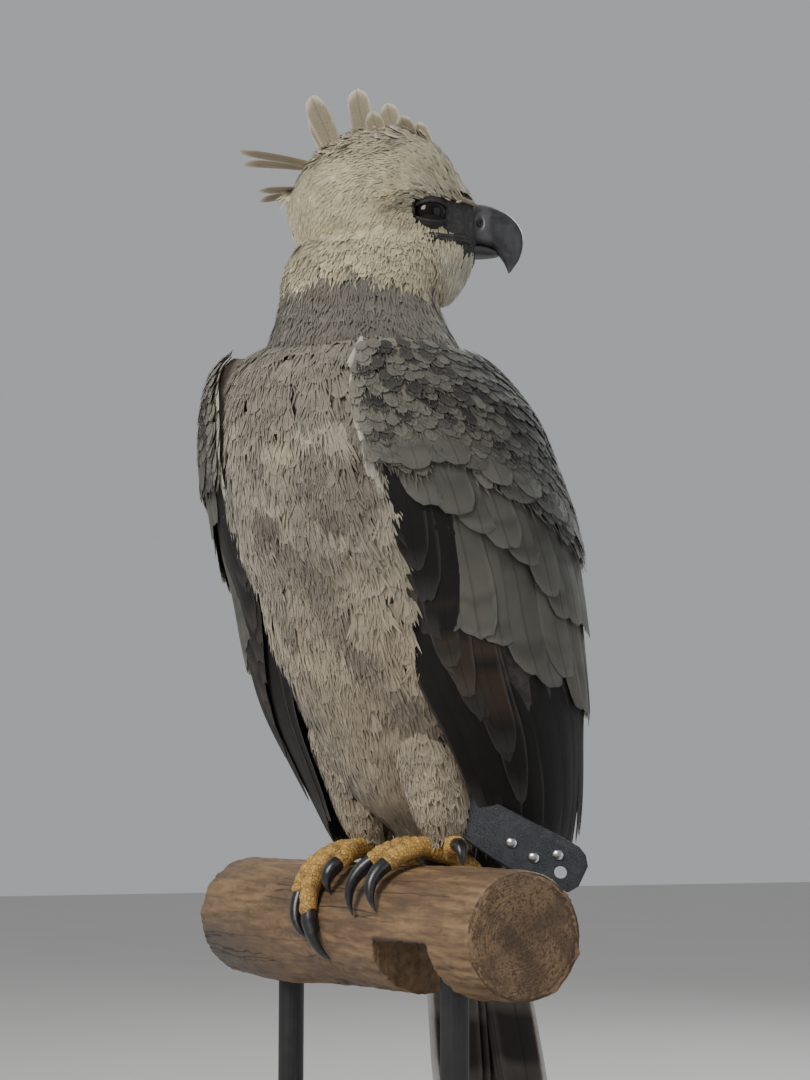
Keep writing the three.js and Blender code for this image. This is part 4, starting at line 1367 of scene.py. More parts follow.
@dataclass(frozen=True)
class LegCoat:
    """Soft feathers on one leg, barred faintly, down to the foot."""

    side: Side

    def build(self) -> list[bpy.types.Object]:
        """Lays the leg's feathers.

        Returns:
            One piece.
        """
        draw = np.random.default_rng(SEED + 5 + self.side.value)
        surface = Leg(self.side)
        u, v = Rows(30.0, 166.0, -math.pi, math.pi, 9.5, 7.5, 0.45).roots(surface, draw)
        points = surface.point(u, v)
        keep = Torso().depth(points) > 0.96
        u, v, points = u[keep], v[keep], points[keep]
        size = draw.uniform(0.8, 1.2, len(u)) * np.interp(u, [30.0, 90.0], [0.72, 1.0])
        bars = ease(np.sin(u * TAU / 17.0 + 2.0 * waves(points, 60.0, 41)), 0.1, 0.9) * 0.16
        colour = blend(
            Tint.BELLY.linear, Tint.SHADE.linear,
            np.clip(bars + 0.4 * ease(waves(points, 50.0, 42), 0.0, 0.6), 0.0, 0.8),
        )
        tufts = Tufts(surface, 27.0, 13.5, barbs=7, strand=2.2, root=-2.6)
        mesh = tufts.grow(u, v, draw.normal(0.0, 0.16, len(u)), size, vary(colour, 0.06, draw), draw)
        finish = Plumage(
            "leg_plumage_" + self.side.label, barbs=12.0, shaft=0.07, edge=0.08, mottle=0.2,
        )
        return [dress(mesh.build("leg_coat_" + self.side.label), finish.material(), "breast_feathers")]


@dataclass(frozen=True)
class Face:
    """Places of the face in the head's frame: the eye, the bare lores, and the mouth line."""

    eye_forward: float = 35.5
    eye_side: float = 33.0
    eye_height: float = 560.5
    eye_radius: float = 15.0

    def bare(self, points: np.ndarray) -> np.ndarray:
        """Whether roots fall where no feathers grow: on the eye, the lores, the mouth line or the bill.

        Args:
            points: Root places.

        Returns:
            True where the skin stays bare.
        """
        forward, side, height = HEAD.read(points)
        at_side = np.abs(side) > 8.0
        eye = np.hypot((forward - self.eye_forward - 1.0) / 15.5, (height - self.eye_height) / 10.5) < 1.0
        lores = (forward > 46.0) & (height < 571.5) & (height > 541.0 + 0.5 * (62.0 - forward))
        mouth = (forward > 27.0) & (np.abs(height - 539.4) < 2.2)
        bill = (forward > 66.0) & (height > 530.0) & (height < 578.0)
        return (at_side & (eye | lores | mouth)) | bill

    def brow(self, forward: np.ndarray, height: np.ndarray) -> np.ndarray:
        """Millimetres that the feathered brow ridge stands out over the eye.

        Args:
            forward: Forward places in the head's frame.
            height: Heights over the log.

        Returns:
            A bell curve of the distance from the brow's line, times its span.
        """
        line = np.interp(forward, [2.0, 26.0, 50.0, 68.0, 78.0], [576.0, 578.5, 577.5, 575.0, 573.0])
        span = ease(forward, -8.0, 16.0) * ease(forward, 80.0, 66.0)
        return 7.5 * span * np.exp(-((height - line - 1.0) / 6.5) ** 2)

    def on_skin(self, forward: np.ndarray, height: np.ndarray, side: Side, lift: float) -> np.ndarray:
        """Places on the side of the head at given forward places and heights.

        Args:
            forward: Forward places in the head's frame.
            height: Heights over the log.
            side: The bird's left or right.
            lift: Millimetres outside the skin.

        Returns:
            Points, from the half width times (1 - rise to the power p) to the power 1 / p.
        """
        top, bottom, half = Skull.shape(forward)
        middle = bottom + 0.52 * (top - bottom)
        rise = (height - middle) / np.where(height > middle, top - middle, middle - bottom)
        width = half * np.clip(1.0 - np.abs(rise) ** SKULL_POWER, 0.0, 1.0) ** (1.0 / SKULL_POWER)
        return HEAD.place(forward, side.value * (width + lift), height)

    def flow(self, points: np.ndarray) -> np.ndarray:
        """Directions that the head's feathers lie in: back over the crown, down and back on the cheek,
        and outwards round the eye."""
        forward, side, height = HEAD.read(points)
        hand = np.where(side > 0.0, 1.0, -1.0)
        down = ease(height, 615.0, 545.0) * 1.5 + 0.05
        away = np.exp(-((forward - self.eye_forward) ** 2 + (height - self.eye_height) ** 2) / 34.0 ** 2)
        reach = np.maximum(np.hypot(forward - self.eye_forward, height - self.eye_height), 1.0)
        ahead = -1.0 + 1.5 * away * (forward - self.eye_forward) / reach
        rise = -down + 1.5 * away * (height - self.eye_height) / reach
        above = ease(height, 568.0, 575.0) * ease(forward, 20.0, 34.0)
        rear = ease(forward, -44.0, -78.0)
        ahead = (ahead * (1.0 - above) - above) * (1.0 - rear)
        rise = (rise * (1.0 - above) + 0.12 * above) * (1.0 - rear) - rear
        ground = HEAD.place(0.0 * ahead, 0.0 * ahead, 0.0 * ahead)
        return unit(HEAD.place(ahead, hand * 0.2, rise) - ground)


@dataclass(frozen=True)
class HeadCoat:
    """Short soft feathers of the head, pale on the face and darker on the crown and nape."""

    face: Face = Face()
    spacing: float = 4.7
    gap: float = 4.6

    def colours(self, points: np.ndarray, draw: np.random.Generator) -> np.ndarray:
        """Pale buff-grey face, browner crown and nape, a dusky line behind the eye, white above it.

        Args:
            points: Root places.
            draw: Seeded source of the variation.

        Returns:
            One linear colour for each root.
        """
        forward, _, height = HEAD.read(points)
        colour = Tint.HEAD.over(points.shape).copy()
        crown = ease(height, 592.0, 622.0) * ease(forward, 66.0, 20.0) * 0.42
        colour = blend(colour, Tint.CROWN.linear, crown)
        colour = blend(colour, Tint.CROWN.linear, ease(forward, -30.0, -74.0) * 0.15)
        colour = blend(colour, Tint.SHADE.linear, ease(waves(points, 44.0, 51), 0.1, 0.7) * 0.3)
        fore = forward - self.face.eye_forward
        rise = height - self.face.eye_height
        line = np.exp(
            -((rise - 2.0 + 0.1 * fore) / 4.5) ** 2
        ) * ease(fore, -10.0, -16.0) * ease(fore, -44.0, -26.0)
        colour = blend(colour, Tint.BLACK.linear, line * 0.6)
        rim = np.exp(-((np.hypot(fore / 1.2, rise) - 17.0) / 4.5) ** 2)
        colour = blend(colour, Tint.WHITE.linear, rim * 0.55 * ease(rise, 2.0, 12.0))
        chin = ease(height, 545.0, 520.0) * ease(forward, 8.0, 40.0)
        colour = blend(colour, Tint.WHITE.linear, chin * 0.7)
        return vary(colour, 0.1, draw)

    def fine(self, draw: np.random.Generator) -> Mesh:
        """Small dense feathers round the eye and over the cheek.

        Args:
            draw: Seeded source of the variation.

        Returns:
            One mesh.
        """
        surface = Skull()
        u, v = Rows(6.0, 75.0, -math.pi, math.pi, 2.6, 2.7, 0.45).roots(surface, draw)
        points = surface.point(u, v)
        forward, _, height = HEAD.read(points)
        near = np.hypot(forward - self.face.eye_forward, height - self.face.eye_height)
        chin = (height < 538.0) & (forward > 34.0)
        keep = ~self.face.bare(points) & (((near < 40.0) & (np.abs(np.cos(v)) > 0.3)) | chin)
        u, v, points, near = u[keep], v[keep], points[keep], near[keep]
        forward, _, height = HEAD.read(points)
        turn = surface.turn(u, v, self.face.flow(points)) + draw.normal(0.0, 0.16, len(u))
        barb = Vanes(
            surface, Lie.WISP, rows=4, columns=2, thickness=0.3, lift_root=-0.6, lift_tip=1.5, arch=0.0,
            ragged=0.0, rounding=0.0, curl=0.5,
        )
        reach = np.interp(near, [11.0, 44.0], [6.0, 12.0]) * draw.uniform(0.8, 1.2, len(u))
        return barb.grow(
            u, v, turn, reach, draw.uniform(1.5, 2.3, len(u)), self.colours(points, draw), draw,
            self.face.brow(forward, height) + draw.uniform(0.0, 0.6, len(u)),
        )

    def shag(self, draw: np.random.Generator) -> Mesh:
        """Loose feathers that stand up between the roots of the crest.

        Args:
            draw: Seeded source of the variation.

        Returns:
            One mesh.
        """
        surface = Skull()
        u, v = Rows(-58.0, 40.0, 0.28 * math.pi, 0.72 * math.pi, 7.0, 6.5, 0.5).roots(surface, draw)
        points = surface.point(u, v)
        tufts = Tufts(surface, 24.0, 10.0, barbs=5, strand=1.9, spread=0.3, root=-1.6, tip=4.5, loft=3.0)
        size = draw.uniform(0.6, 1.15, len(u)) * np.interp(u, [-58.0, -30.0, 5.0, 40.0], [0.8, 1.1, 1.0, 0.6])
        turn = surface.turn(u, v, self.face.flow(points)) + draw.normal(0.0, 0.3, len(u))
        return tufts.grow(u, v, turn, size, self.colours(points, draw), draw, draw.uniform(0.0, 3.0, len(u)))

    def hood(self, draw: np.random.Generator) -> Mesh:
        """Feathers of the nape, which fall straight from the back of the head over the neck.

        Args:
            draw: Seeded source of the variation.

        Returns:
            One mesh.
        """
        surface = Neck()
        u, v = Rows(506.0, 551.0, 0.68 * math.pi, 1.32 * math.pi, 6.2, 6.0, 0.45).roots(surface, draw)
        stand = np.interp(u, [506.0, 530.0, 540.0, 551.0], [0.0, 1.0, 3.2, 6.5])
        stand = stand * ease(-np.cos(v), 0.5, 0.95)
        tufts = Tufts(surface, 24.0, 10.0, barbs=5, strand=1.8, spread=0.3, root=-1.6, tip=1.2, loft=1.4)
        turn = draw.normal(0.0, 0.14, len(u))
        size = draw.uniform(0.8, 1.2, len(u))
        return tufts.grow(u, v, turn, size, self.colours(surface.point(u, v, stand), draw), draw, stand)

    def build(self) -> list[bpy.types.Object]:
        """Lays the head's feathers.

        Returns:
            Both halves of the coat and its loose feathers.
        """
        draw = np.random.default_rng(SEED + 3)
        surface = Skull()
        u, v = Rows(-84.0, 75.0, -math.pi, math.pi, self.spacing, self.gap, 0.45).roots(surface, draw)
        u = np.clip(u, -85.0, 75.0)
        points = surface.point(u, v)
        keep = ~self.face.bare(points) & (Neck().depth(points) > 0.93)
        u, v, points = u[keep], v[keep], points[keep]
        forward, _, height = HEAD.read(points)
        fore = forward - self.face.eye_forward
        near = np.hypot(fore, height - self.face.eye_height)
        size = np.interp(
            near, [14.0, 30.0, 60.0], [0.5, 0.72, 1.0],
        ) * np.interp(forward, [40.0, 76.0], [1.0, 0.55])
        size = size * (1.0 + 0.45 * ease(height, 540.0, 505.0)) * draw.uniform(0.8, 1.25, len(u))
        turn = surface.turn(u, v, self.face.flow(points)) + draw.normal(0.0, 0.13, len(u))
        crown = ease(height, 608.0, 634.0) * ease(forward, 44.0, 10.0)
        seat = ease(Neck().depth(points), 1.4, 1.0)
        bump = self.face.brow(forward, height) + 3.5 * crown + 4.0 * seat
        tufts = Tufts(surface, 18.5, 8.2, barbs=4, strand=1.8, spread=0.3, root=-1.1, tip=0.7, loft=1.2)
        size = size * (1.0 + 0.3 * crown)
        colours = self.colours(points, draw)
        finish = Plumage("head_plumage", barbs=9.0, shaft=0.03, edge=0.04, mottle=0.12, sheen=0.35)
        material = finish.material()
        made = []
        for hand in Side:
            half = np.sin(v) * hand.value > 0.0
            mesh = tufts.grow(u[half], v[half], turn[half], size[half], colours[half], draw, bump[half])
            made.append(dress(mesh.build("head_coat_" + hand.label), material, "head_feathers"))
        loose = Mesh.joined([self.fine(draw), self.shag(draw), self.hood(draw)])
        made.append(dress(loose.build("head_down"), material, "head_feathers"))
        return made


@dataclass(frozen=True)
class Bare:
    """Bare dark skin before the eye, the eyelids, the brow and the eyes."""

    face: Face = Face()

    def lores(self) -> bpy.types.Object:
        """Dark skin over the front of the face, just under the feathers' roots."""
        surface = Skull()
        u = np.linspace(44.0, 76.0, 30)[:, None]
        v = np.linspace(0.0, TAU, 96, endpoint=False)[None, :]
        ring = surface.point(u + 0.0 * v, v + 0.0 * u, -1.2)
        ring = ring + unit(ring - ring.mean(axis=1, keepdims=True)) * (0.5 * waves(ring, 9.0, 61))[..., None]
        finish = Hide(
            "lores_skin", (52, 50, 51), (92, 88, 84), 0.5, 260.0, (0.5, 0.7), cells=700.0, relief=0.5,
        )
        return dress(rings_mesh(ring).build("lores"), finish.material(), "head_feathers")

    def lids(self) -> bpy.types.Object:
        """Upper and lower lids over both eyeballs, which leave an almond-shaped opening."""
        parts = []
        turn = np.linspace(-1.0, 1.0, 44)[None, :]
        t = np.linspace(0.0, 1.0, 20)[:, None]
        for side in Side:
            axis = unit(np.array([0.3, side.value * 0.95, 0.0]))
            ahead = np.array([axis[1] * side.value, -axis[0] * side.value, 0.0])
            for sign, edge, bow in ((1.0, 25.0, 20.0), (-1.0, 33.0, 29.0)):
                low = edge - bow * turn * turn
                rise = np.radians(sign * (low + (78.0 - low) * t))
                sweep = np.radians(88.0) * turn
                way = (
                    (np.cos(rise) * np.cos(sweep))[..., None] * axis
                    + (np.cos(rise) * np.sin(sweep))[..., None] * ahead
                    + np.sin(rise)[..., None] * np.array([0.0, 0.0, 1.0])
                )
                thick = 0.7 + 1.5 * np.sqrt(
                    np.clip(t / 0.16, 0.0, 1.0)
                ) + 0.35 * np.sin(t * 22.0) * ease(t, 0.1, 0.3)
                grids = []
                for reach in (self.face.eye_radius + thick, self.face.eye_radius + 0.35 + 0.0 * t):
                    place = way * np.asarray(reach)[..., None]
                    grids.append(HEAD.place(
                        self.face.eye_forward + place[..., 0],
                        side.value * self.face.eye_side + place[..., 1],
                        self.face.eye_height + place[..., 2],
                    ))
                parts.append(slab_mesh(*grids))
        finish = Hide(
            "lid_skin", (30, 28, 29), (66, 62, 60), 0.5, 300.0, (0.42, 0.6), cells=900.0, relief=0.4,
        )
        return dress(Mesh.joined(parts).build("eyelids"), finish.material(), "head_feathers")

    def ridges(self) -> list[bpy.types.Object]:
        """The brow's bony ridge, and the lips that run back from the bill under the eye."""
        brows = []
        lips = []
        for side in Side:
            line = np.array(
                [[2, 40, 576], [26, 40.5, 578], [50, 34, 577.5], [68, 22.5, 575], [78, 13, 573]],
                dtype=float,
            )
            path = smooth_line(HEAD.place(line[:, 0], side.value * line[:, 1], line[:, 2]), 40)
            radii = np.interp(np.linspace(0.0, 1.0, 40), np.linspace(0.0, 1.0, 5), [2.6, 5.2, 4.8, 3.2, 1.6])
            brows.append(rings_mesh(tube_rings(path, radii, 24, 0.8)))
            t = np.linspace(0.0, 1.0, 40)
            for offset in (1.3, -1.3):
                forward = 28.0 + 44.0 * t
                height = 539.4 + offset * ease(t, 0.0, 0.2) + 0.4 * np.sin(t * 9.0)
                lip = self.face.on_skin(forward, height, side, 0.1)
                lips.append(rings_mesh(tube_rings(lip, 0.5 + 1.5 * ease(t, 0.0, 0.3), 14)))
        ridge = Hide("brow_down", (150, 140, 118), (96, 88, 76), 0.5, 120.0, (0.8, 0.9))
        flesh = Hide("lip_skin", (38, 37, 39), (86, 82, 80), 0.4, 260.0, (0.4, 0.6), relief=0.4)
        return [
            dress(Mesh.joined(brows).build("brow_ridges"), ridge.material(), "head_feathers"),
            dress(Mesh.joined(lips).build("gape_lips"), flesh.material(), "head_feathers"),
        ]

    def eyes(self) -> list[bpy.types.Object]:
        """Both eyeballs: black pupil, dark brown iris with fine spokes, dark rim."""
        made = []
        material, w, shader = new_material("eye_glass")
        tint = w.add("Attribute", attribute_name="Plume").outputs["Color"]
        w.tree.links.new(tint, shader.inputs["Base Color"])
        shader.inputs["Roughness"].default_value = 0.12
        shader.inputs["Coat Weight"].default_value = 0.35
        shader.inputs["Coat Roughness"].default_value = 0.02
        shader.inputs["Specular IOR Level"].default_value = 0.1
        t = np.linspace(0.004, math.pi - 0.004, 72)[:, None]
        spin = np.linspace(0.0, TAU, 96, endpoint=False)[None, :]
        for side in Side:
            axis = unit(np.array([0.34, side.value * 0.94, 0.0]))
            first = unit(np.cross(axis, [0.0, 0.0, 1.0]))
            second = np.cross(axis, first)
            around = np.cos(spin)[..., None] * first + np.sin(spin)[..., None] * second
            place = (np.cos(t)[..., None] * axis + np.sin(t)[..., None] * around) * self.face.eye_radius
            rings = HEAD.place(
                self.face.eye_forward + place[..., 0],
                side.value * self.face.eye_side + place[..., 1],
                self.face.eye_height + place[..., 2],
            )
            spokes = 0.5 + 0.5 * np.sin(41.0 * spin + 3.0 * np.sin(9.0 * spin))
            iris = srgb(24, 16, 12) * (0.7 + 0.6 * spokes)[..., None] * np.ones((len(t), 1, 1))
            pupil = ease(t, 0.36, 0.31)[..., None]
            rim = ease(t, 0.62, 0.74)[..., None]
            colour = iris * (1.0 - pupil) + srgb(6, 6, 7) * pupil
            colour = colour * (1.0 - rim) + srgb(16, 13, 12) * rim
            mesh = rings_mesh(rings)
            mesh.colour = np.concatenate([colour.reshape(-1, 3), colour[0, :1], colour[-1, :1]])
            label = "eye_" + side.label
            made.append(dress(mesh.build(label + "_ball"), material, "eye", label))
        return made

    def build(self) -> list[bpy.types.Object]:
        """Makes the bare parts of the face.

        Returns:
            The pieces.
        """
        return [self.lores(), self.lids(), *self.ridges(), *self.eyes()]


@dataclass(frozen=True)
class Bill:
    """Hooked bill in two halves, with nostrils, a grey cere and a worn tip."""

    upper: tuple = (
        (0.0, 70, 578, 69, 539.6, 15.0), (0.16, 84, 577, 80, 539, 15.0), (0.32, 97, 573, 90, 537, 13.4),
        (0.47, 109, 566, 95.5, 533, 10.8), (0.62, 117, 555, 99.5, 528.5, 8.0),
        (0.75, 119, 543, 102.5, 523.5, 5.6),
        (0.88, 115.6, 529, 104.6, 518.5, 3.2), (1.0, 108, 517, 105.6, 515.4, 1.0),
    )
    lower: tuple = (
        (0.0, 62, 539.4, 62, 529.5, 13.0), (0.4, 76, 539.2, 77, 529, 12.0), (0.7, 86, 538.4, 88, 529.4, 9.6),
        (0.88, 93, 535.6, 95.4, 530.4, 6.4), (1.0, 96, 533.4, 97.6, 531.6, 2.4),
    )

    def half(self, table: tuple, name: str, node: str, narrow: float) -> bpy.types.Object:
        """One half of the bill through slanting rings.

        Args:
            table: Share along, then forward and height of the ring's top and bottom, and its half width.
            name: Name of the piece.
            node: The node that it stands for.
            narrow: How much the ring narrows from its bottom to its top, as a share.

        Returns:
            The piece.
        """
        share = np.linspace(0.0, 1.0, 96)
        top_p, top_z, low_p, low_z, width = (column[:, None] for column in Profile(list(table))(share))
        angle = np.linspace(0.0, TAU, 96, endpoint=False)[None, :]
        rise = 0.5 + 0.5 * root_power(np.sin(angle), 2.3)
        across = root_power(np.cos(angle), 2.3) * width * (1.0 - narrow * rise)
        forward = low_p + (top_p - low_p) * rise
        height = low_z + (top_z - low_z) * rise
        if node == "bill_upper":
            pit = np.exp(-(((forward - 80.0) / 3.2) ** 2 + ((height - 558.0) / 5.2) ** 2) * 1.3)
            across = across * (1.0 - 0.34 * pit)
            ridge = ease(forward, 86.0, 92.0) * ease(forward, 100.0, 92.0)
            across = across * (1.0 + 0.025 * ridge)
        points = HEAD.place(forward, across, height)
        mesh = rings_mesh(points)
        cere = ease(forward, 93.0, 84.0) if node == "bill_upper" else ease(forward, 84.0, 72.0)
        tip = ease(share, 0.75, 1.0)[:, None] * np.ones_like(cere)
        colour = blend(srgb(38, 38, 42), srgb(72, 72, 76), cere)
        colour = blend(colour, srgb(84, 82, 82), tip * 0.5)
        if node == "bill_upper":
            # Painted shade: the nostril dent is painted near black for the shadow inside its opening
            colour = blend(colour, srgb(12, 12, 13), pit)
        mesh.colour = np.concatenate([colour.reshape(-1, 3), colour[0, :1], colour[-1, :1]])
        finish = Hide(name + "_horn", None, (96, 94, 94), 0.28, 120.0, (0.3, 0.5), relief=0.16, coat=0.25)
        return dress(mesh.build(name), finish.material(), "horn", node)

    def build(self) -> list[bpy.types.Object]:
        """Makes both halves.

        Returns:
            The pieces.
        """
        return [
            self.half(self.upper, "upper_bill", "bill_upper", 0.25),
            self.half(self.lower, "lower_bill", "bill_lower", -0.25),
        ]


def slab_mesh(outer: np.ndarray, inner: np.ndarray) -> Mesh:
    """Closed slab between two grids of points.

    Args:
        outer: Upper grid as (row, column, 3).
        inner: Lower grid of the same shape.

    Returns:
        The mesh, its faces turned outwards.
    """
    rows, columns = outer.shape[:2]
    grid = np.arange(rows * columns).reshape(rows, columns)
    under = grid + rows * columns
    faces = [np.stack([grid[:-1, :-1], grid[:-1, 1:], grid[1:, 1:], grid[1:, :-1]], axis=-1).reshape(-1, 4)]
    faces.append(
        np.stack([under[:-1, :-1], under[1:, :-1], under[1:, 1:], under[:-1, 1:]], axis=-1).reshape(-1, 4)
    )
    border = np.concatenate([grid[0, :-1], grid[:-1, -1], grid[-1, :0:-1], grid[:0:-1, 0]])
    after = np.roll(border, -1)
    shift = rows * columns
    faces.append(np.stack([after, border, border + shift, after + shift], axis=-1))
    points = np.concatenate([outer.reshape(-1, 3), inner.reshape(-1, 3)])
    return outwards(Mesh(points, np.concatenate(faces), np.zeros((0, 3), dtype=int)))


def ribbon(
    path: np.ndarray, across: np.ndarray, width: float, lie: Lie, colour: np.ndarray,
    thickness: float = 0.9, cup: float = 0.07, ragged: float = 0.02, seed: int = 0,
) -> Mesh:
    """One free feather along a line, cupped over its shaft.

    Args:
        path: Points of the shaft, root first.
        across: Direction of the vane's width.
        width: Full width.
        lie: Outline.
        colour: One linear colour for each row of the path.
        thickness: Depth of the vane under its shaft.
        cup: Drop of the vane's edges as a share of its width.
        ragged: Raggedness of the end as a share of the length.
        seed: Draws the raggedness.

    Returns:
        The feather as a closed mesh.
    """
    rows = len(path)
    columns = 9
    s = np.linspace(0.0, 1.0, rows)
    c = np.linspace(-1.0, 1.0, columns)
    along = unit(np.gradient(path, axis=0))
    out = unit(np.cross(along, across))
    side = unit(np.cross(out, along))
    outline = np.array(lie.value)
    wide = width * np.interp(s, outline[:, 0], outline[:, 1])
    length = np.linalg.norm(np.diff(path, axis=0), axis=1).sum()
    draw = np.random.default_rng(SEED + 900 + seed)
    notch = draw.uniform(-1.0, 0.4, columns)[None, :] * ease(s, 0.6, 1.0)[:, None] * ragged * length
    back = -0.46 * wide[:, None] * (s ** 3)[:, None] * (1.0 - np.sqrt(1.0 - 0.98 * c * c))[None, :] + notch
    top = path[:, None] + side[:, None] * (0.5 * wide[:, None] * c)[..., None]
    top = top + along[:, None] * back[..., None] - out[:, None] * (cup * wide[:, None] * c * c)[..., None]
    keel = path - out * ((thickness + 0.6 * abs(cup) * wide) * (1.0 - 0.8 * s ** 5))[:, None]
    vanes = Vanes(Surface(), lie, rows=rows, columns=columns)
    patch = np.array([[0.5 + 0.45 * math.sin(0.37 * seed), 0.5 + 0.45 * math.cos(0.61 * seed)]])
    return vanes.close(top[None], keel[None], colour[None], patch, s, c)


@dataclass(frozen=True)
class Tier:
    """One tier of wing feathers: its shares of the wing, tip heights by share, and its sizes."""

    first: float
    last: float
    count: int
    tips: tuple
    length: float
    width: float
    lift: float
    lie: Lie
    colour: Tint
    slant: float = 0.03

    def grow(self, surface: WingSheet, draw: np.random.Generator, rows: int) -> Mesh:
        """Lays the tier on a wing.

        Args:
            surface: The wing.
            draw: Seeded source of the variation.
            rows: Rows of points along a feather.

        Returns:
            One mesh.
        """
        share = np.linspace(self.first, self.last, self.count) + draw.normal(0.0, 0.003, self.count)
        tip = Profile(list(self.tips))(share)[0] + draw.normal(0.0, 4.5, self.count)
        root = np.minimum(tip + self.length, surface.top - 6.0)
        step, _ = surface.steps(root, share)
        length = (root - tip) / step
        s = np.linspace(0.0, 1.0, rows)
        base = self.colour.over((self.count, 3))
        tone = vary(base, 0.1, draw)
        colour = blend(
            tone[:, None, :] * np.ones((1, rows, 1)), Tint.BLACK.linear,
            0.3 * ease(s, 0.75, 0.1)[None, :],
        )
        points = surface.point(root[:, None] - (root - tip)[:, None] * s, share[:, None] + 0.0 * s)
        dusk = ease(waves(points * np.array([1.0, 1.0, 0.4]), 16.0, 71), 0.1, 0.8) * 0.3
        colour = blend(colour, Tint.BLACK.linear, dusk)
        width = self.width * draw.uniform(0.93, 1.07, self.count)
        feathers = Vanes(
            surface, self.lie, rows=rows, columns=7, thickness=0.5, arch=0.045, ragged=0.012,
            lift_root=-5.0 + self.lift, lift_tip=self.lift + 1.0, curl=0.2,
        )
        layer = 0.9 * (np.arange(self.count) % 2) + draw.uniform(-0.2, 0.3, self.count)
        turn = np.full(self.count, self.slant) + draw.normal(0.0, 0.012, self.count)
        return feathers.grow(root, share, turn, length, width, colour, draw, layer)


@dataclass(frozen=True)
class Wing:
    """One folded wing: a dark inner sheet, flight feathers, tiers of coverts and the front edge."""

    side: Side

    flight_tips = ((0.0, 42), (0.12, 18), (0.3, 4), (0.5, 8), (0.75, 34), (1.0, 84))
    greater_tips = ((0.0, 214), (0.25, 168), (0.45, 138), (0.7, 120), (1.0, 138))
    median_tips = ((0.0, 300), (0.22, 268), (0.42, 212), (0.7, 194), (1.0, 214))
    lesser_tips = ((0.0, 324), (0.25, 314), (0.5, 278), (0.75, 262), (1.0, 282))

    def sheet(self) -> bpy.types.Object:
        """Dark sheet that the feathers are rooted in."""
        surface = WingSheet(self.side)
        u = np.linspace(80.0, surface.top - 9.0, 60)[:, None]
        v = np.linspace(0.01, 1.0, 48)[None, :]
        rim = 1.0 - np.minimum(np.minimum(v, 1.0 - v) / 0.08, 1.0) ** 0.5
        thin = 6.0 + 14.0 * ease(u, 90.0, 330.0)
        outer = surface.point(u + 0.0 * v, v + 0.0 * u, -1.5 - 3.0 * rim + 0.0 * u)
        inner = surface.point(u + 0.0 * v, v + 0.0 * u, -thin + 3.0 * rim)
        finish = Hide("wing_down_" + self.side.label, None, (84, 78, 74), 0.5, 60.0, (0.8, 0.9))
        label = "wing_" + self.side.label
        mesh = slab_mesh(outer, inner)
        dark = np.broadcast_to(srgb(44, 41, 40), mesh.points.shape)
        mesh.colour = blend(dark, Tint.COLLAR.linear, ease(mesh.points[:, 2] - LOG_TOP, 330.0, 390.0))
        return dress(mesh.build(label + "_sheet"), finish.material(), "wing_feathers", label)

    def lesser(self, draw: np.random.Generator) -> Mesh:
        """Small coverts over the shoulder, grey with black mottles and pale along the front edge.

        Args:
            draw: Seeded source of the variation.

        Returns:
            One mesh.
        """
        surface = WingSheet(self.side)
        u, v = Rows(258.0, surface.top, 0.0, 0.99, 8.0, 8.2, 0.42).roots(surface, draw)
        floor = Profile(list(self.lesser_tips))(v)[0]
        keep = u - 12.0 > floor + draw.uniform(-4.0, 10.0, len(u))
        u, v = u[keep], v[keep]
        points = surface.point(u, v)
        shoulder = ease(u, 330.0, 400.0)
        mottle = ease(waves(points, 12.0, 72), 0.2, 0.4) * (0.35 + 0.4 * shoulder)
        streak = ease(
            waves(points * np.array([1.0, 1.0, 0.45]), 15.0, 73), -0.2, 0.2,
        ) * ease(v, 0.4, 0.62) * ease(u, 300.0, 360.0)
        pale = blend(
            Tint.COVERT.over(points.shape), Tint.COLLAR.linear, 0.3 * ease(v, 0.5, 0.1),
        )
        colour = blend(pale, Tint.BLACK.linear, np.clip(mottle + streak, 0.0, 0.92))
        fleck = draw.uniform(0.0, 1.0, len(u)) < 0.16 * ease(u, 270.0, 340.0) * ease(v, 0.75, 0.5)
        colour = blend(colour, Tint.BLACK.linear, np.where(fleck, 0.85, 0.0))
        colour = blend(colour, Tint.WHITE.linear, ease(v, 0.03, 0.008) * ease(u, 290.0, 320.0) * 0.12)
        size = draw.uniform(0.85, 1.15, len(u)) * np.interp(u, [262.0, 330.0, 444.0], [1.45, 1.15, 0.85])
        tufts = Tufts(surface, 23.0, 11.0, barbs=5, strand=2.0, spread=0.26, root=4.4, tip=6.9, loft=0.6)
        return tufts.grow(u, v, 0.05 + draw.normal(0.0, 0.1, len(u)), size, vary(colour, 0.07, draw), draw)

    def front_edge(self, draw: np.random.Generator) -> Mesh:
        """Bastard wing and primary coverts: dark pointed feathers down the front edge, browner low down.

        Args:
            draw: Seeded source of the variation.

        Returns:
            One mesh.
        """
        surface = WingSheet(self.side)
        tip = np.linspace(262.0, 60.0, 12) + draw.normal(0.0, 5.0, 12)
        share = np.interp(
            tip, [66.0, 130.0, 220.0, 304.0], [0.2, 0.14, 0.08, 0.045],
        ) + draw.normal(0.0, 0.006, 12)
        length = np.minimum(330.0 - tip, 140.0) + 30.0
        root = tip + length
        step, _ = surface.steps(root, share)
        s = np.linspace(0.0, 1.0, 18)
        points = surface.point(root[:, None] - length[:, None] * s, share[:, None] + 0.0 * s)
        mottle = ease(waves(points, 26.0, 74), -0.1, 0.5) * ease(
            points[..., 2] - LOG_TOP, 240.0, 170.0,
        ) * ease(points[..., 2] - LOG_TOP, 95.0, 140.0)
        colour = blend(Tint.FLIGHT.over(points.shape), Tint.BROWN.linear, mottle * 0.7)
        feathers = Vanes(
            surface, Lie.QUILL, rows=18, columns=7, thickness=0.5, arch=0.05, lift_root=0.2, lift_tip=4.8,
            ragged=0.02,
        )
        return feathers.grow(
            root, share, np.full(12, -0.04), length / step, np.full(12, 27.0), colour, draw,
            0.7 * (np.arange(12) % 2),
        )

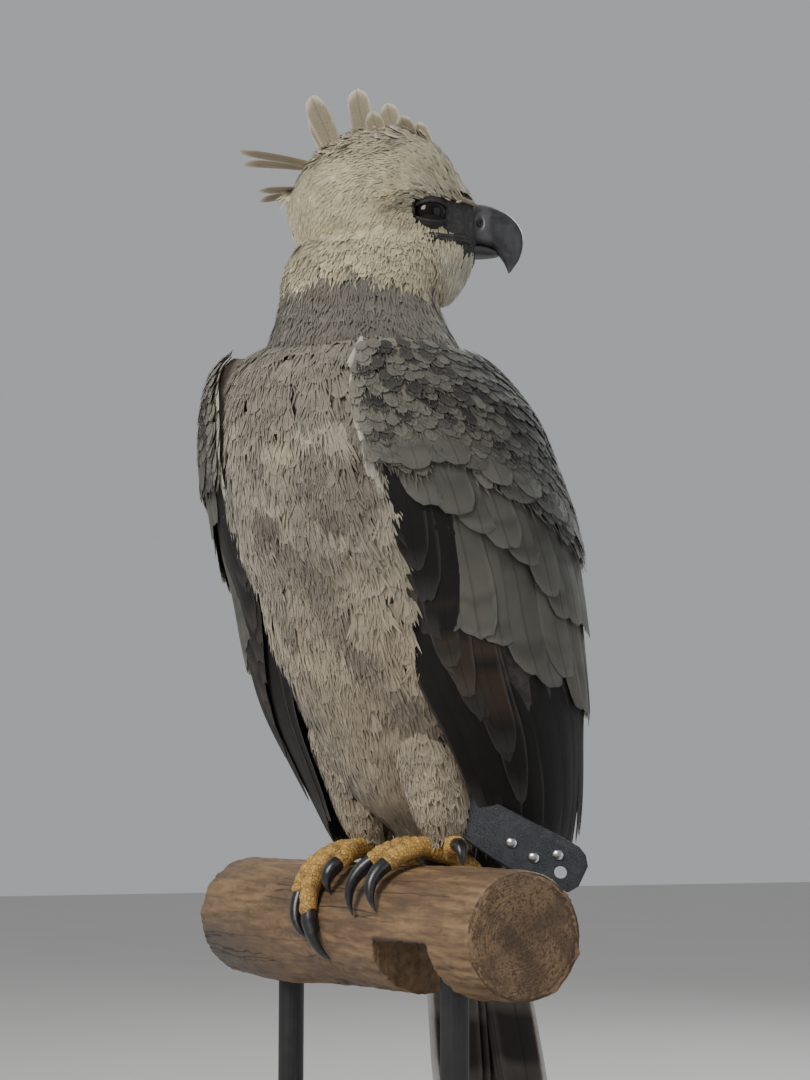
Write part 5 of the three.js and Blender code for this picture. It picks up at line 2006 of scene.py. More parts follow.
    def lining(self, draw: np.random.Generator) -> Mesh:
        """White feathers of the wing's lining that show beyond its front edge.

        Args:
            draw: Seeded source of the variation.

        Returns:
            One mesh.
        """
        surface = WingSheet(self.side)
        root = np.linspace(surface.top, 244.0, 58) + draw.normal(0.0, 2.0, 58)
        colour = blend(
            Tint.WHITE.over((58, 3)), Tint.COVERT.linear, draw.uniform(0.0, 0.4, 58),
        )
        feathers = Vanes(
            surface, Lie.BODY, rows=7, columns=5, thickness=0.4, lift_root=1.0, lift_tip=3.4, ragged=0.06,
        )
        share = np.full(58, -0.004) + draw.normal(0.0, 0.003, 58)
        return feathers.grow(
            root, share, np.full(58, -0.02) + draw.normal(0.0, 0.05, 58), draw.uniform(22.0, 32.0, 58),
            np.full(58, 4.6), colour, draw,
        )

    def build(self) -> list[bpy.types.Object]:
        """Makes the wing.

        Returns:
            The pieces.
        """
        draw = np.random.default_rng(SEED + 20 + self.side.value)
        surface = WingSheet(self.side)
        label = self.side.label
        tiers = [
            Tier(0.02, 0.96, 24, self.flight_tips, 208.0, 34.0, 1.0, Lie.QUILL, Tint.FLIGHT),
            Tier(0.105, 0.965, 15, self.greater_tips, 126.0, 36.0, 3.4, Lie.COVERT, Tint.COVERT),
            Tier(0.1, 0.965, 16, self.median_tips, 86.0, 33.0, 5.2, Lie.COVERT, Tint.COVERT),
            Tier(0.05, 0.965, 19, self.lesser_tips, 64.0, 28.0, 6.6, Lie.COVERT, Tint.COVERT),
        ]
        rows = (26, 18, 14, 12)
        long = Mesh.joined([tier.grow(surface, draw, count) for tier, count in zip(tiers, rows)])
        front = Mesh.joined([self.front_edge(draw), self.lining(draw)])
        quills = Plumage(
            "quill_plumage_" + label, barbs=60.0, shaft=0.3, edge=0.05, mottle=0.2, roughness=0.6,
            sheen=0.03,
        )
        small = Plumage("covert_plumage_" + label, barbs=12.0, shaft=0.1, edge=0.03, mottle=0.3, sheen=0.08)
        return [
            self.sheet(),
            dress(long.build("wing_quills_" + label), quills.material(), "wing_feathers"),
            dress(front.build("wing_edge_" + label), quills.material(), "wing_feathers"),
            dress(self.lesser(draw).build("wing_coverts_" + label), small.material(), "wing_feathers"),
        ]


@dataclass(frozen=True)
class Tail:
    """Twelve barred tail feathers with coverts over and under their roots."""

    length: float = 398.0
    feathers: int = 12

    def quills(self) -> list[Mesh]:
        """The long feathers, the middle pair outermost, barred grey on black."""
        made = []
        s = np.linspace(0.0, 1.0, 40)
        for number, share in enumerate(np.linspace(-1.0, 1.0, self.feathers)):
            layer = 3.4 * abs(share) * (self.feathers / 2) + (1.7 if share > 0.0 else 0.0)
            lean = math.copysign(abs(share) ** 0.9, share)
            tip = self.length - 16.0 * abs(share)
            path = CHEST.place(
                -92.0 - 0.262 * s * tip + layer - 3.0 * np.sin(math.pi * s),
                lean * (20.0 + 26.0 * s) - 18.0 * s,
                78.0 - 0.965 * s * tip,
            )
            across = unit(CHEST.place(0.12 * lean, 1.0, 0.0) - CHEST.place(0.0, 0.0, 0.0))
            bars = ease(np.sin(TAU * (4.4 * s - 0.15) + 0.4 * share), 0.1, 0.5) * ease(s, 0.05, 0.2)
            colour = blend(Tint.TAIL.over((40, 3)), Tint.BAR.linear, bars * 0.85)
            colour = blend(colour, Tint.BAR.linear, ease(s, 0.965, 0.99) * 0.8)
            made.append(ribbon(path, across, 54.0, Lie.QUILL, colour, 1.2, -0.05, 0.012, number))
        return made

    def coverts(self) -> list[Mesh]:
        """Shorter feathers above and below the roots."""
        made = []
        draw = np.random.default_rng(SEED + 40)
        s = np.linspace(0.0, 1.0, 18)
        for depth, length, count, tint in ((-8.0, 150.0, 11, Tint.TAIL), (27.0, 124.0, 11, Tint.BELLY)):
            for number, share in enumerate(np.linspace(-1.0, 1.0, count)):
                reach = length * draw.uniform(0.82, 1.08)
                path = CHEST.place(
                    -96.0 - 0.24 * s * reach + depth * (1.0 - 0.3 * s) + draw.uniform(-1.5, 1.5),
                    share * 50.0 - 8.0 * s,
                    92.0 - 0.97 * s * reach * (1.0 - 0.12 * abs(share)),
                )
                across = unit(CHEST.place(0.0, 1.0, 0.0) - CHEST.place(0.0, 0.0, 0.0))
                colour = blend(
                    tint.over((18, 3)), Tint.BAR.linear, ease(s, 0.9, 1.0) * 0.6,
                )
                cup = -0.08 if depth < 0.0 else 0.08
                made.append(ribbon(path, across, 30.0, Lie.COVERT, colour, 1.0, cup, 0.03, 50 + number))
        return made

    def build(self) -> list[bpy.types.Object]:
        """Makes the tail on its root.

        Returns:
            The pieces.
        """
        root = smooth_line(
            CHEST.place(np.array([-98.0, -108.0, -118.0]), np.zeros(3), np.array([92.0, 50.0, 12.0])), 24,
        )
        heart = rings_mesh(
            tube_rings(root, np.interp(np.linspace(0.0, 1.0, 24), [0.0, 0.5, 1.0], [26.0, 26.0, 10.0]), 32)
        )
        down = Hide("tail_down", (92, 84, 78), (120, 112, 104), 0.6, 60.0, (0.8, 0.9))
        finish = Plumage(
            "tail_plumage", barbs=70.0, shaft=0.4, edge=0.1, mottle=0.25, roughness=0.65, sheen=0.15,
        )
        feathers = Mesh.joined(self.quills() + self.coverts())
        return [
            dress(heart.build("tail_root"), down.material(), "tail_feathers", "tail"),
            dress(feathers.build("tail_quills"), finish.material(), "tail_feathers"),
        ]


@dataclass(frozen=True)
class Crest:
    """Double crest of broad round-tipped feathers over the back of the head."""

    rows: tuple = (
        (34, 8, 634, 25, 12, 647, 16, 62), (20, 14, 635, 12, 22, 652, 18, 66),
        (4, 10, 638, -3, 16, 665, 20, 64),
        (-8, 18, 633, -17, 30, 655, 20, 58), (-22, 10, 636, -29, 18, 677, 24, 62),
        (-46, 16, 626, -67, 28, 667, 25, 56),
        (-60, 10, 624, -129, 17, 621, 20, 6), (-70, 10, 603, -115, 15, 586, 18, 6),
    )

    def build(self) -> list[bpy.types.Object]:
        """Makes the crest's feathers on both sides.

        Returns:
            One piece.
        """
        draw = np.random.default_rng(SEED + 60)
        s = np.linspace(0.0, 1.0, 22)[:, None]
        made = []
        for side in Side:
            for number, (p0, q0, z0, p1, q1, z1, width, turn) in enumerate(self.rows):
                root = HEAD.place(p0 + 4.0, side.value * q0 * 0.7, z0 - 14.0)
                tip = HEAD.place(p1, side.value * q1, z1) + draw.normal(0.0, 1.2, 3)
                middle = 0.5 * (root + tip) + np.array([0.0, 0.0, 3.0])
                path = (1.0 - s) ** 2 * root + 2.0 * s * (1.0 - s) * middle + s * s * tip
                along = unit(tip - root)
                level = HEAD.place(0.0, side.value, 0.0) - HEAD.place(0.0, 0.0, 0.0)
                upright = unit(np.cross(along, level))
                flat = np.cross(upright, along)
                across = flat * math.cos(math.radians(turn)) + upright * math.sin(math.radians(turn))
                tone = vary(Tint.CROWN.over((1, 3)), 0.12, draw)
                colour = blend(
                    np.broadcast_to(tone, (22, 3)), Tint.HEAD.linear, ease(s[:, 0], 0.45, 0.0) * 0.7,
                )
                colour = blend(colour, Tint.HEAD.linear, ease(s[:, 0], 0.94, 1.0) * 0.35)
                made.append(
                    ribbon(path, across, width * 0.94, Lie.COVERT, colour, 0.9, 0.08, 0.03, 200 + number)
                )
        finish = Plumage("crest_plumage", barbs=22.0, shaft=0.3, edge=0.35, mottle=0.2)
        return [dress(Mesh.joined(made).build("crest_quills"), finish.material(), "head_feathers", "crest")]


def round_log(x: np.ndarray, bearing: np.ndarray, off: np.ndarray) -> np.ndarray:
    """Places round the log's axis: x along it, bearing in degrees from its top towards the viewer.

    Args:
        x: Places along the log.
        bearing: Degrees.
        off: Millimetres outside the log's skin.

    Returns:
        Points: the radius times the sine and cosine of the bearing.
    """
    angle = np.radians(bearing)
    reach = LOG_RADIUS + off
    return np.stack([x, -reach * np.sin(angle), LOG_TOP - LOG_RADIUS + reach * np.cos(angle)], axis=-1)


@dataclass(frozen=True)
class Toe:
    """One toe: its line as (x, bearing, distance off the log), and the claw's tip and bending point."""

    name: str
    line: tuple
    tip: tuple
    bend: tuple
    size: float

    def path(self, count: int) -> np.ndarray:
        """Evenly spaced places along the toe, from the sole to the claw."""
        table = np.array(self.line, dtype=float)
        return smooth_line(round_log(table[:, 0], table[:, 1], table[:, 2]), count)

    def flesh(self) -> Mesh:
        """The toe with plates across its back and pads under it."""
        path = self.path(90)
        t = np.linspace(0.0, 1.0, 90)
        radii = np.interp(t, np.linspace(0.0, 1.0, 6), [10.4, 9.6, 8.6, 9.2, 8.2, 7.6])
        out = unit(path - np.stack([path[:, 0], np.zeros(90), np.full(90, LOG_TOP - LOG_RADIUS)], axis=-1))
        along = unit(np.gradient(path, axis=0))
        side = unit(np.cross(out, along))
        out = np.cross(along, side)
        angle = np.linspace(0.0, TAU, 56, endpoint=False)
        upper = ease(np.sin(angle), 0.05, 0.75)[None, :]
        lower = ease(-np.sin(angle), 0.1, 0.9)[None, :]
        plate = np.abs(np.sin(math.pi * t * 9.0 + 0.3))[:, None] ** 0.4
        pad = np.abs(np.sin(math.pi * t * 3.0))[:, None] ** 0.6
        swell = 0.96 + 0.16 * upper * plate * ease(t, 0.12, 0.3)[:, None] + 0.12 * lower * (pad - 0.5)
        close = np.sqrt(np.clip(1.0 - ((t - 0.93) / 0.07).clip(0.0, 1.0) ** 2, 0.03, 1.0))[:, None]
        reach = radii[:, None] * swell * close
        reach = reach + 0.25 * waves(path[:, None] + side[:, None] * reach[..., None], 7.0, 81)
        rings = path[:, None] + side[:, None] * (np.cos(angle) * reach)[..., None]
        rings = rings + out[:, None] * (0.92 * np.sin(angle) * reach)[..., None]
        mesh = rings_mesh(rings)
        colour = blend(
            np.broadcast_to(srgb(214, 171, 92), rings.shape), srgb(132, 92, 42),
            (1.0 - plate) * upper * 0.8,
        )
        colour = blend(colour, srgb(150, 120, 78), lower * 0.5 + 0.0 * plate)
        mesh.colour = np.concatenate([colour.reshape(-1, 3), colour[0, :1], colour[-1, :1]])
        return mesh

    def claw(self) -> Mesh:
        """The claw: a tapered hook, rounder above than below."""
        path = self.path(50)
        start = path[41]
        lift = np.array([0.0, 0.0, LOG_TOP])
        t = np.linspace(0.0, 1.0, 72)[:, None]
        bend = np.array(self.bend, dtype=float) + lift
        tip = np.array(self.tip, dtype=float) + lift
        line = (1.0 - t) ** 2 * start + 2.0 * t * (1.0 - t) * bend + t * t * tip
        radii = np.interp(
            t[:, 0], [0.0, 0.25, 0.5, 0.75, 0.94, 1.0], [7.2, 7.0, 5.6, 3.8, 1.7, 0.6],
        ) * self.size
        rings = tube_rings(line, radii, 48, 0.86)
        mesh = rings_mesh(rings)
        tone = ease(t, 0.0, 0.12) * np.ones((1, 48))
        colour = blend(np.broadcast_to(srgb(70, 60, 48), rings.shape), srgb(26, 26, 29), tone)
        colour = blend(colour, srgb(70, 70, 74), ease(t, 0.86, 1.0) * 0.5 * np.ones((1, 48)))
        mesh.colour = np.concatenate([colour.reshape(-1, 3), colour[0, :1], colour[-1, :1]])
        return mesh


@dataclass(frozen=True)
class Foot:
    """One foot: a short scaled shank, four toes and their claws."""

    side: Side
    ankle: tuple[float, float]
    toes: tuple

    def build(self) -> list[bpy.types.Object]:
        """Makes the foot.

        Returns:
            The pieces.
        """
        label = self.side.label
        forward, out, _, _ = Leg(self.side).shape(20.0)
        upper = CHEST.place(forward + 4.0, self.side.value * out, 62.0)
        ankle = np.array([self.ankle[0], self.ankle[1], LOG_TOP + 15.0])
        foot = np.array([self.ankle[0], self.ankle[1] - 4.0, LOG_TOP + 5.0])
        line = smooth_line(np.array([upper, 0.5 * (upper + ankle), ankle, foot]), 60)
        radii = np.interp(np.linspace(0.0, 1.0, 60), np.linspace(0.0, 1.0, 5), [14.0, 13.0, 12.6, 15.0, 12.0])
        shank = rings_mesh(tube_rings(line, radii * (1.0 + 0.03 * np.sin(np.arange(60) * 1.1)), 56))
        shank.colour = np.broadcast_to(srgb(190, 152, 90), shank.points.shape).copy()
        flesh = Mesh.joined([shank, *(toe.flesh() for toe in self.toes)])
        scales = Hide(
            "scaled_" + label, None, (118, 90, 58), 0.6, 70.0, (0.55, 0.75), cells=330.0, relief=0.75,
        )
        horn = Hide("claw_horn_" + label, None, (78, 76, 76), 0.3, 160.0, (0.24, 0.4), relief=0.12, coat=0.3)
        made = [dress(
            flesh.build("foot_" + label + "_skin"), scales.material(), "scaled_skin", "foot_" + label,
        )]
        material = horn.material()
        for toe in self.toes:
            node = f"claw_{label}_{toe.name}"
            made.append(dress(toe.claw().build(node + "_horn"), material, "horn", node))
        return made


FEET = (
    Foot(Side.LEFT, (70.0, 25.0), (
        Toe("inner", ((66, -20, 13), (57, 6, 15), (49, 24, 15), (45, 37, 14)),
            (45, -56, -42), (33, -64, -12), 1.08),
        Toe("middle", ((71, -20, 13), (70, 4, 15), (70, 22, 13), (70, 37, 11)),
            (80, -52, -37), (68, -62, -12), 1.08),
        Toe("outer", ((74, -20, 13), (84, -16, 15), (95, -12, 17), (104, -10, 17)),
            (121, 8, -2), (120, 8, 22), 0.9),
        Toe("hind", ((69, -24, 12), (67, -46, 13), (65, -62, 11), (64, -76, 9)),
            (60, 52, -84), (62, 78, -62), 1.25),
    )),
    Foot(Side.RIGHT, (-45.0, 10.0), (
        Toe("inner", ((-40, -6, 13), (-29, 14, 14), (-20, 28, 13), (-16, 39, 12)),
            (-16, -48, -26), (-15, -60, -8), 1.08),
        Toe("middle", ((-45, -4, 13), (-45, 24, 14), (-40, 56, 11), (-32, 84, 9)),
            (-12, -50, -82), (-27, -66, -70), 1.08),
        Toe("outer", ((-50, -4, 13), (-57, 22, 13), (-62, 46, 11), (-62, 68, 9)),
            (-42, -58, -65), (-58, -72, -52), 0.9),
        Toe("hind", ((-46, -10, 12), (-46, -38, 13), (-45, -58, 11), (-44, -74, 9)),
            (-40, 50, -82), (-43, 77, -60), 1.25),
    )),
)


@dataclass(frozen=True)
class Strap:
    """Blue-black leather strap at the left leg with a hole and three bright rivets."""

    width: float = 44.0
    thickness: float = 3.0
    hole: float = 5.0
    hole_at: tuple[float, float] = (0.86, -5.0)
    line: tuple = ((50, -58, 50), (76, -68, 37), (103, -78, 21), (131, -86, 6), (162, -94, -9))
    shape: tuple = (
        (0.0, 0.8), (0.2, 0.9), (0.4, 0.98), (0.6, 1.0), (0.78, 1.0), (0.9, 0.94), (0.96, 0.76),
        (1.0, 0.42),
    )
    rivets: tuple = ((0.5, -2.0), (0.67, -4.0), (0.8, 7.0))

    def place(self, at: np.ndarray, across: np.ndarray, off: np.ndarray) -> np.ndarray:
        """Places on the strap: share along it, millimetres across it and out of its middle plane."""
        ground = Bearing(HEAD.heading)
        table = np.array(self.line, dtype=float)
        path = smooth_line(ground.place(table[:, 0], table[:, 1], table[:, 2]), 401)
        along = unit(np.gradient(path, axis=0))
        facing = ground.place(0.0, -1.0, 0.0) - ground.place(0.0, 0.0, 0.0)
        wide = unit(np.cross(facing, along))
        out = unit(np.cross(along, wide))
        where = np.clip(np.asarray(at) * 400.0, 0.0, 400.0)
        found = []
        for values in (path, wide, out):
            found.append(
                np.stack([np.interp(where, np.arange(401), values[:, k]) for k in range(3)], axis=-1)
            )
        return found[0] + found[1] * np.asarray(across)[..., None] + found[2] * np.asarray(off)[..., None]

    def build(self) -> list[bpy.types.Object]:
        """Makes the strap and its rivets.

        Returns:
            The pieces.
        """
        at = np.linspace(0.0, 1.0, 120)[:, None]
        c = np.linspace(-1.0, 1.0, 40)[None, :]
        outline = np.array(self.shape)
        half = 0.5 * self.width * np.interp(at, outline[:, 0], outline[:, 1])
        rim = np.sqrt(
            np.clip(1.0 - ((np.abs(c) - 0.93) / 0.07).clip(0.0, 1.0) ** 2, 0.15, 1.0)
        ) * np.ones_like(at)
        seam = 1.0 - 0.16 * np.exp(-((np.abs(c) - 0.84) / 0.02) ** 2)
        grids = [self.place(
            at + 0.0 * c, c * half, sign * 0.5 * self.thickness * rim * seam,
        ) for sign in (1.0, -1.0)]
        leather = slab_mesh(*grids).build("strap_leather")
        ring = np.linspace(0.0, TAU, 40, endpoint=False)
        length = 118.0
        bore = [self.place(
            self.hole_at[0] + np.cos(ring) * self.hole / length, self.hole_at[1] + np.sin(ring) * self.hole,
            np.full(40, off),
        ) for off in (-6.0, 6.0)]
        cutter = rings_mesh(np.stack(bore)).build("strap_bore")
        cut = leather.modifiers.new("Hole", "BOOLEAN")
        cut.object = cutter
        cut.solver = "EXACT"
        found = bpy.context.evaluated_depsgraph_get()
        holed = bpy.data.meshes.new_from_object(leather.evaluated_get(found))
        leather.modifiers.clear()
        leather.data = holed
        bpy.data.objects.remove(cutter)
        finish = Hide(
            "strap_leather", (30, 34, 42), (66, 70, 78), 0.45, 90.0, (0.42, 0.62), cells=520.0, relief=0.35,
        )
        made = [dress(leather, finish.material(), "jess_leather", "jess_strap")]
        steel = Hide(
            "rivet_steel", (200, 202, 206), (150, 150, 152), 0.3, 300.0, (0.12, 0.3), relief=0.1,
            metallic=1.0,
        )
        material = steel.material()
        turn = np.linspace(0.0, TAU, 48, endpoint=False)[None, :]
        t = np.linspace(0.0, 1.0, 20)[:, None]
        for number, (share, across) in enumerate(self.rivets, start=1):
            radius = 4.6 * np.cos(0.5 * math.pi * t * 0.97)
            rise = 0.5 * self.thickness + 0.1 + 2.6 * np.sin(0.5 * math.pi * t)
            rings = self.place(
                share + np.cos(turn) * radius / length, across + np.sin(turn) * radius, rise + 0.0 * turn,
            )
            node = f"jess_rivet_{number}"
            made.append(dress(rings_mesh(rings).build(node + "_dome"), material, "rivet_metal", node))
        return made


@dataclass(frozen=True)
class Perch:
    """Peeled, worn log with knots, cracks and a sawn end."""

    shape = Profile([
        (-300, 56, 57), (-220, 58, 58), (-120, 56, 56), (-60, 54.4, 54.6), (80, 54, 54), (150, 53, 53),
        (LOG_TO, END_RADIUS, END_RADIUS),
    ])
    knots: tuple = (
        (-196.0, 38.0, 15.0, 4.0), (-92.0, 62.0, 12.0, 2.6), (-246.0, -20.0, 18.0, 3.6),
        (18.0, 96.0, 11.0, 2.4),
    )

    def skin(self) -> Mesh:
        """The log's round surface with its notch."""
        x = np.concatenate([np.linspace(LOG_FROM, LOG_TO, 300), [NOTCH[0], NOTCH[1]]])
        x = np.sort(x)[:, None]
        angle = np.linspace(0.0, TAU, 200, endpoint=False)[None, :]
        wide, tall = self.shape(x)
        around = np.stack(
            [x + 0.0 * angle, LOG_RADIUS * np.sin(angle) + 0.0 * x, LOG_RADIUS * np.cos(angle) + 0.0 * x],
            axis=-1,
        )
        swell = 0.9 * waves(around * np.array([0.35, 1.0, 1.0]), 60.0, 91)
        swell = swell + 0.35 * waves(around * np.array([0.12, 1.0, 1.0]), 9.0, 92)
        crack = waves(around * np.array([0.1, 1.0, 1.0]), 21.0, 93)
        swell = swell - 1.1 * np.exp(-(crack / 0.035) ** 2) * ease(waves(around, 90.0, 94), -0.1, 0.4)
        for at, bearing, size, rise in self.knots:
            turn = np.degrees(np.arctan2(-np.sin(angle), np.cos(angle)))
            off = np.hypot(x - at, (turn - bearing) * 0.94)
            swell = swell + rise * np.exp(-(off / size) ** 2) - 0.7 * rise * np.exp(
                -((off - 0.75 * size) / (0.16 * size)) ** 2
            )
        top = ease(np.cos(angle), 0.6, 1.0)
        swell = swell * (1.0 - 0.5 * top) - 0.8 + 0.0 * x
        chamfer = 0.0 * x
        for inside in (LOG_TO - x, x - LOG_FROM):
            share = np.clip(1.0 - inside / WORN_EDGE, 0.0, 1.0)
            chamfer = chamfer + WORN_EDGE * (1.0 - np.sqrt(np.clip(1.0 - share ** 2, 0.0, 1.0)))
        height = -tall + np.cos(angle) * (tall + swell - chamfer)
        floor = -2.0 * tall + NOTCH[2] + 0.5 * waves(around, 14.0, 95)
        height = np.where((x >= NOTCH[0]) & (x <= NOTCH[1]), np.maximum(height, floor), height)
        points = np.stack(
            [x + 0.0 * angle, -np.sin(angle) * (wide + swell - chamfer), LOG_TOP + height], axis=-1,
        )
        return rings_mesh(points)

    def bark(self) -> bpy.types.Material:
        """Peeled wood: long grain, dark cracks and knot-like spots, greyer blotches towards the end away from
        the sawn face, and painted shade in the notch.
        """
        made, w, shader = new_material("peeled_wood")
        long = w.object_place((0.09, 1.0, 1.0))
        grain = w.noise(long, 160.0, 6.0, 0.62)
        broad = w.noise(w.object_place((0.4, 1.0, 1.0)), 14.0, 4.0)
        spots = w.noise(w.object_place((0.5, 1.0, 1.0)), 120.0, 3.0)
        colour = w.mix(w.band(grain, 0.28, 0.72), paint(100, 78, 56), paint(152, 123, 90))
        colour = w.mix(w.band(broad, 0.42, 0.62, 0.0, 0.55), colour, paint(78, 62, 50))
        colour = w.mix(w.band(spots, 0.58, 0.72, 0.0, 0.3), colour, paint(52, 38, 29))
        split = w.add("SeparateXYZ", {"Vector": w.add("TexCoord").outputs["Object"]})
        grey = w.math("MULTIPLY", w.band(split.outputs["X"], -0.14, -0.26), w.band(broad, 0.36, 0.6))
        colour = w.mix(w.math("MULTIPLY", grey, 0.8), colour, paint(88, 80, 72))
        # Painted shade: the notch's face is darkened almost to black brown, standing in for the shadow that
        # lies in the notch
        first, last, rise = (value * MM for value in NOTCH)
        roof = (LOG_TOP - 2.0 * LOG_RADIUS) * MM + rise
        inside = w.math(
            "MULTIPLY", w.band(split.outputs["X"], first - 0.003, first + 0.003),
            w.band(split.outputs["X"], last + 0.003, last - 0.003),
        )
        inside = w.math("MULTIPLY", inside, w.band(split.outputs["Z"], roof + 0.0065, roof + 0.0015))
        colour = w.mix(w.math("MULTIPLY", inside, 0.85), colour, paint(36, 26, 20))
        pith = w.math(
            "ABSOLUTE", w.math("SUBTRACT", w.noise(w.object_place((0.035, 1.0, 1.0)), 42.0, 2.0), 0.5),
        )
        crack = w.math("MULTIPLY", w.band(pith, 0.002, 0.012, 1.0, 0.0), w.band(broad, 0.46, 0.56))
        colour = w.mix(w.math("MULTIPLY", crack, 0.75), colour, paint(30, 22, 17))
        w.tree.links.new(colour, shader.inputs["Base Color"])
        w.tree.links.new(w.band(grain, 0.2, 0.8, 0.5, 0.72), shader.inputs["Roughness"])
        height = w.math("SUBTRACT", grain, w.math("MULTIPLY", crack, 1.2))
        w.tree.links.new(w.bump(height, 0.55, 0.0012), shader.inputs["Normal"])
        return made

    def sawn(self) -> tuple[Mesh, bpy.types.Material]:
        """The sawn end that faces out: growth rings, checks and specks."""
        t = np.linspace(0.02, 1.0, 60)[:, None]
        angle = np.linspace(0.0, TAU, 120, endpoint=False)[None, :]
        radius = (END_RADIUS - 1.9) * t
        rough = 0.25 * waves(np.stack(
            [0.0 * radius + 0.0 * angle, radius * np.cos(angle), radius * np.sin(angle)], axis=-1,
        ), 8.0, 96)
        side = np.stack([LOG_TO + 0.5 + rough - 1.2 * t ** 12, radius * np.sin(angle),
                         LOG_TOP - 52.0 + radius * np.cos(angle)], axis=-1)
        back = side[-1:] - np.array([2.4, 0.0, 0.0])
        mesh = rings_mesh(np.concatenate([side, back]))
        made, w, shader = new_material("sawn_wood")
        place = w.add(
            "Mapping", {"Vector": w.add("TexCoord").outputs["Object"], "Location": RING_CENTRE},
        ).outputs["Vector"]
        flat = w.add("VectorMath", {0: place, 1: (0.0, 1.0, 1.0)}, operation="MULTIPLY").outputs[0]
        reach = w.add("VectorMath", {0: flat}, operation="LENGTH").outputs["Value"]
        wobble = w.noise(flat, 40.0, 3.0)
        ring = w.math(
            "SINE", w.math("ADD", w.math("MULTIPLY", reach, RING_PHASE), w.math("MULTIPLY", wobble, 16.0)),
        )
        speck = w.noise(w.object_place(), 420.0, 4.0, 0.7)
        blotch = w.noise(flat, 46.0, 4.0)
        colour = w.mix(
            w.band(ring, -1.0, 1.0, 0.0, 0.18), paint(126, 101, 74), paint(98, 76, 55),
        )
        colour = w.mix(w.band(speck, 0.47, 0.62, 0.0, 0.75), colour, paint(48, 35, 26))
        colour = w.mix(w.band(blotch, 0.42, 0.6, 0.0, 0.65), colour, paint(74, 57, 42))
        colour = w.mix(w.band(reach, 0.03, 0.004, 0.0, 0.4), colour, paint(64, 48, 36))
        colour = w.mix(w.band(reach, 0.043, 0.0495, 0.0, 0.8), colour, paint(70, 50, 36))
        split = w.add("SeparateXYZ", {"Vector": flat})
        bearing = w.math("ARCTAN2", split.outputs["Y"], split.outputs["Z"])
        spoke = w.math(
            "SINE", w.math("ADD", w.math("MULTIPLY", bearing, 5.0), w.math("MULTIPLY", wobble, 3.0)),
        )
        check = w.math(
            "MULTIPLY", w.band(w.math("ABSOLUTE", spoke), 0.0, 0.045, 1.0, 0.0),
            w.band(reach, 0.045, 0.012),
        )
        colour = w.mix(w.math("MULTIPLY", check, 0.7), colour, paint(34, 24, 18))
        w.tree.links.new(colour, shader.inputs["Base Color"])
        shader.inputs["Roughness"].default_value = 0.72
        height = w.math("SUBTRACT", w.math("ADD", w.math("MULTIPLY", ring, 0.2), speck), check)
        w.tree.links.new(w.bump(height, 0.5, 0.001), shader.inputs["Normal"])
        return mesh, made

    def build(self) -> list[bpy.types.Object]:
        """Makes the log.

        Returns:
            The pieces.
        """
        end, sawn = self.sawn()
        return [
            dress(self.skin().build("log_surface"), self.bark(), "perch_wood", "perch_log"),
            dress(end.build("log_sawn_end"), sawn, "perch_wood"),
        ]


def finish_stand() -> None:
    """Gives the base board and the two rods, which stay as modelled, their finishes."""
    board, w, shader = new_material("dark_oak")
    grain = w.noise(w.object_place((0.08, 1.0, 1.0)), 190.0, 6.0, 0.6)
    broad = w.noise(w.object_place((0.2, 1.0, 1.0)), 18.0, 3.0)
    colour = w.mix(w.band(grain, 0.3, 0.7), paint(58, 42, 32), paint(92, 68, 50))
    colour = w.mix(w.band(broad, 0.4, 0.65, 0.0, 0.4), colour, paint(46, 33, 25))
    w.tree.links.new(colour, shader.inputs["Base Color"])
    w.tree.links.new(w.band(grain, 0.2, 0.8, 0.38, 0.52), shader.inputs["Roughness"])
    w.tree.links.new(w.bump(grain, 0.15, 0.0006), shader.inputs["Normal"])
    steel = Hide("black_steel", (34, 34, 36), (58, 57, 56), 0.3, 70.0, (0.4, 0.55), relief=0.1).material()
    for node, material in (("stand_base", board), ("stand_rod_1", steel), ("stand_rod_2", steel)):
        piece = bpy.data.objects[node]
        piece.data.materials.clear()
        piece.data.materials.append(material)


def add_floor() -> None:
    """Plain pale floor that runs up behind the model."""
    made, w, shader = new_material("pale_floor")
    soft = w.noise(w.object_place(), 3.0, 2.0)
    w.tree.links.new(
        w.mix(w.band(soft, 0.3, 0.7, 0.0, 0.2), (0.62, 0.61, 0.59, 1.0), (0.56, 0.55, 0.53, 1.0)),
        shader.inputs["Base Color"],
    )
    shader.inputs["Roughness"].default_value = 0.9
    mesh = bpy.data.meshes.new("floor")
    mesh.from_pydata([(-9, -9, 0), (9, -9, 0), (9, 9, 0), (-9, 9, 0)], [], [(0, 1, 2, 3)])
    floor = bpy.data.objects.new("floor", mesh)
    mesh.materials.append(made)
    bpy.context.scene.collection.objects.link(floor)


def add_light(name: str, place: tuple, target: tuple, power: float, size: float, tint: tuple) -> None:
    """A soft square light that looks at a place.

    Args:
        name: Name of the light.
        place: Where it stands, in metres.
        target: What it looks at, in metres.
        power: Watts.
        size: Edge length in metres.
        tint: Linear colour.
    """
    data = bpy.data.lights.new(name, "AREA")
    data.energy = power
    data.size = size
    data.color = tint
    light = bpy.data.objects.new(name, data)
    light.location = place
    way = unit(np.array(place, dtype=float) - np.array(target, dtype=float))
    light.rotation_euler = (math.acos(way[2]), 0.0, math.atan2(way[0], -way[1]))
    bpy.context.scene.collection.objects.link(light)


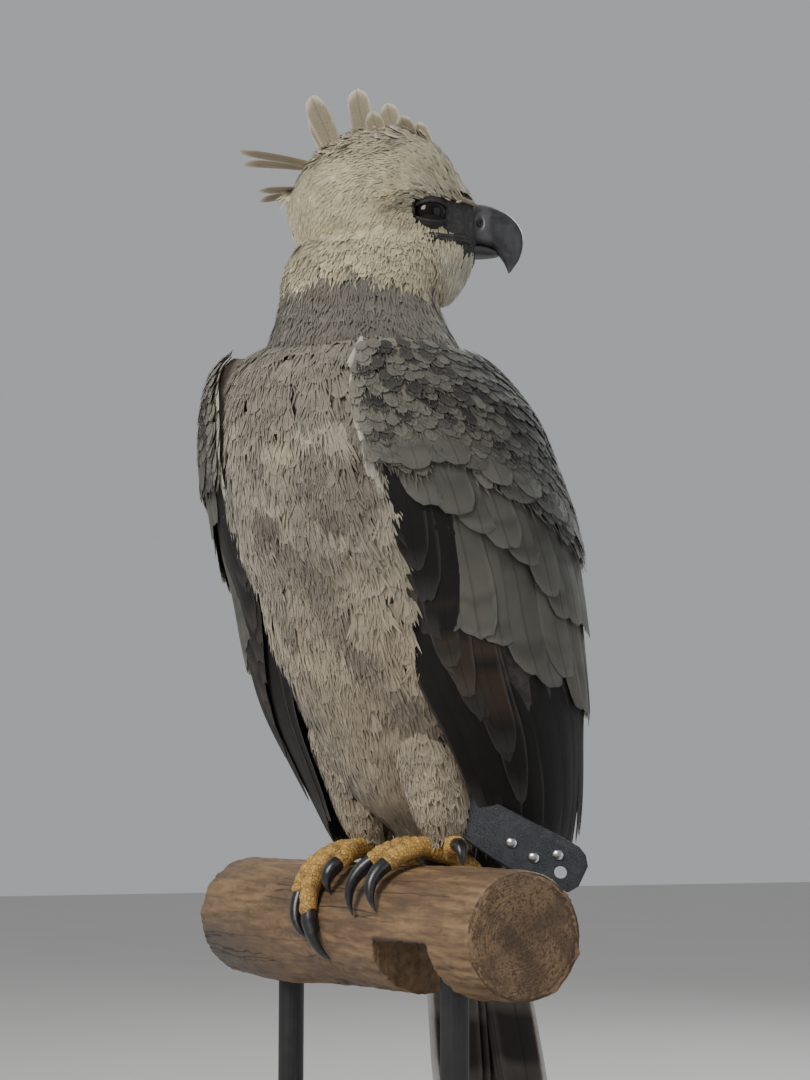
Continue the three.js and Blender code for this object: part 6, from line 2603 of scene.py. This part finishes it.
def add_camera() -> None:
    """The camera of the photograph: its place, its pitch and its field."""
    data = bpy.data.cameras.new("view")
    data.lens = FOCAL_PIXELS / FRAME_HEIGHT * SENSOR
    data.sensor_fit = "VERTICAL"
    data.sensor_height = SENSOR
    data.clip_end = 60.0
    camera = bpy.data.objects.new("view", data)
    right = np.array([math.cos(CAMERA_BEARING), math.sin(CAMERA_BEARING), 0.0])
    back = np.array([right[1], -right[0], 0.0])
    place = back * CAMERA_DISTANCE + right * CAMERA_RIGHT + np.array([0.0, 0.0, LOG_TOP + CAMERA_RISE])
    camera.location = place * MM
    camera.rotation_euler = (math.pi / 2.0 + CAMERA_PITCH, 0.0, CAMERA_BEARING)
    bpy.context.scene.collection.objects.link(camera)
    bpy.context.scene.camera = camera


def add_studio() -> None:
    """Soft studio light: a broad key high on the viewer's left, a fill on the right and a dim pale room."""
    right = np.array([math.cos(CAMERA_BEARING), math.sin(CAMERA_BEARING), 0.0])
    back = np.array([right[1], -right[0], 0.0])
    target = (0.0, 0.0, 0.65)
    for name, aside, near, high, power, size, tint in (
        ("key", -1.4, 1.6, 2.1, 58.0, 1.1, (1.0, 0.97, 0.93)),
        ("fill", 1.9, 1.5, 1.1, 9.0, 1.8, (0.93, 0.96, 1.0)),
        ("rim", 1.2, -1.6, 2.0, 30.0, 1.2, (0.95, 0.98, 1.0)),
    ):
        place = right * aside + back * near + np.array([0.0, 0.0, high])
        add_light(name, tuple(place), target, power, size, tint)
    world = bpy.data.worlds.new("room")
    world.use_nodes = True
    shade = world.node_tree.nodes["Background"]
    shade.inputs["Color"].default_value = (0.78, 0.8, 0.82, 1.0)
    shade.inputs["Strength"].default_value = 0.5
    bpy.context.scene.world = world


def main() -> None:
    """Builds every piece, then the floor, the lights and the camera."""
    logging.basicConfig(level=logging.INFO, format="%(message)s")
    Skin().build()
    builders = [
        BodyCoat(), Collar(), LegCoat(Side.LEFT), LegCoat(Side.RIGHT), HeadCoat(), Bare(), Bill(), Crest(),
        Wing(Side.LEFT), Wing(Side.RIGHT), Tail(), *FEET, Strap(), Perch(),
    ]
    pieces = [piece for builder in builders for piece in builder.build()]
    finish_stand()
    add_floor()
    add_studio()
    add_camera()


if __name__ == "__main__":
    main()
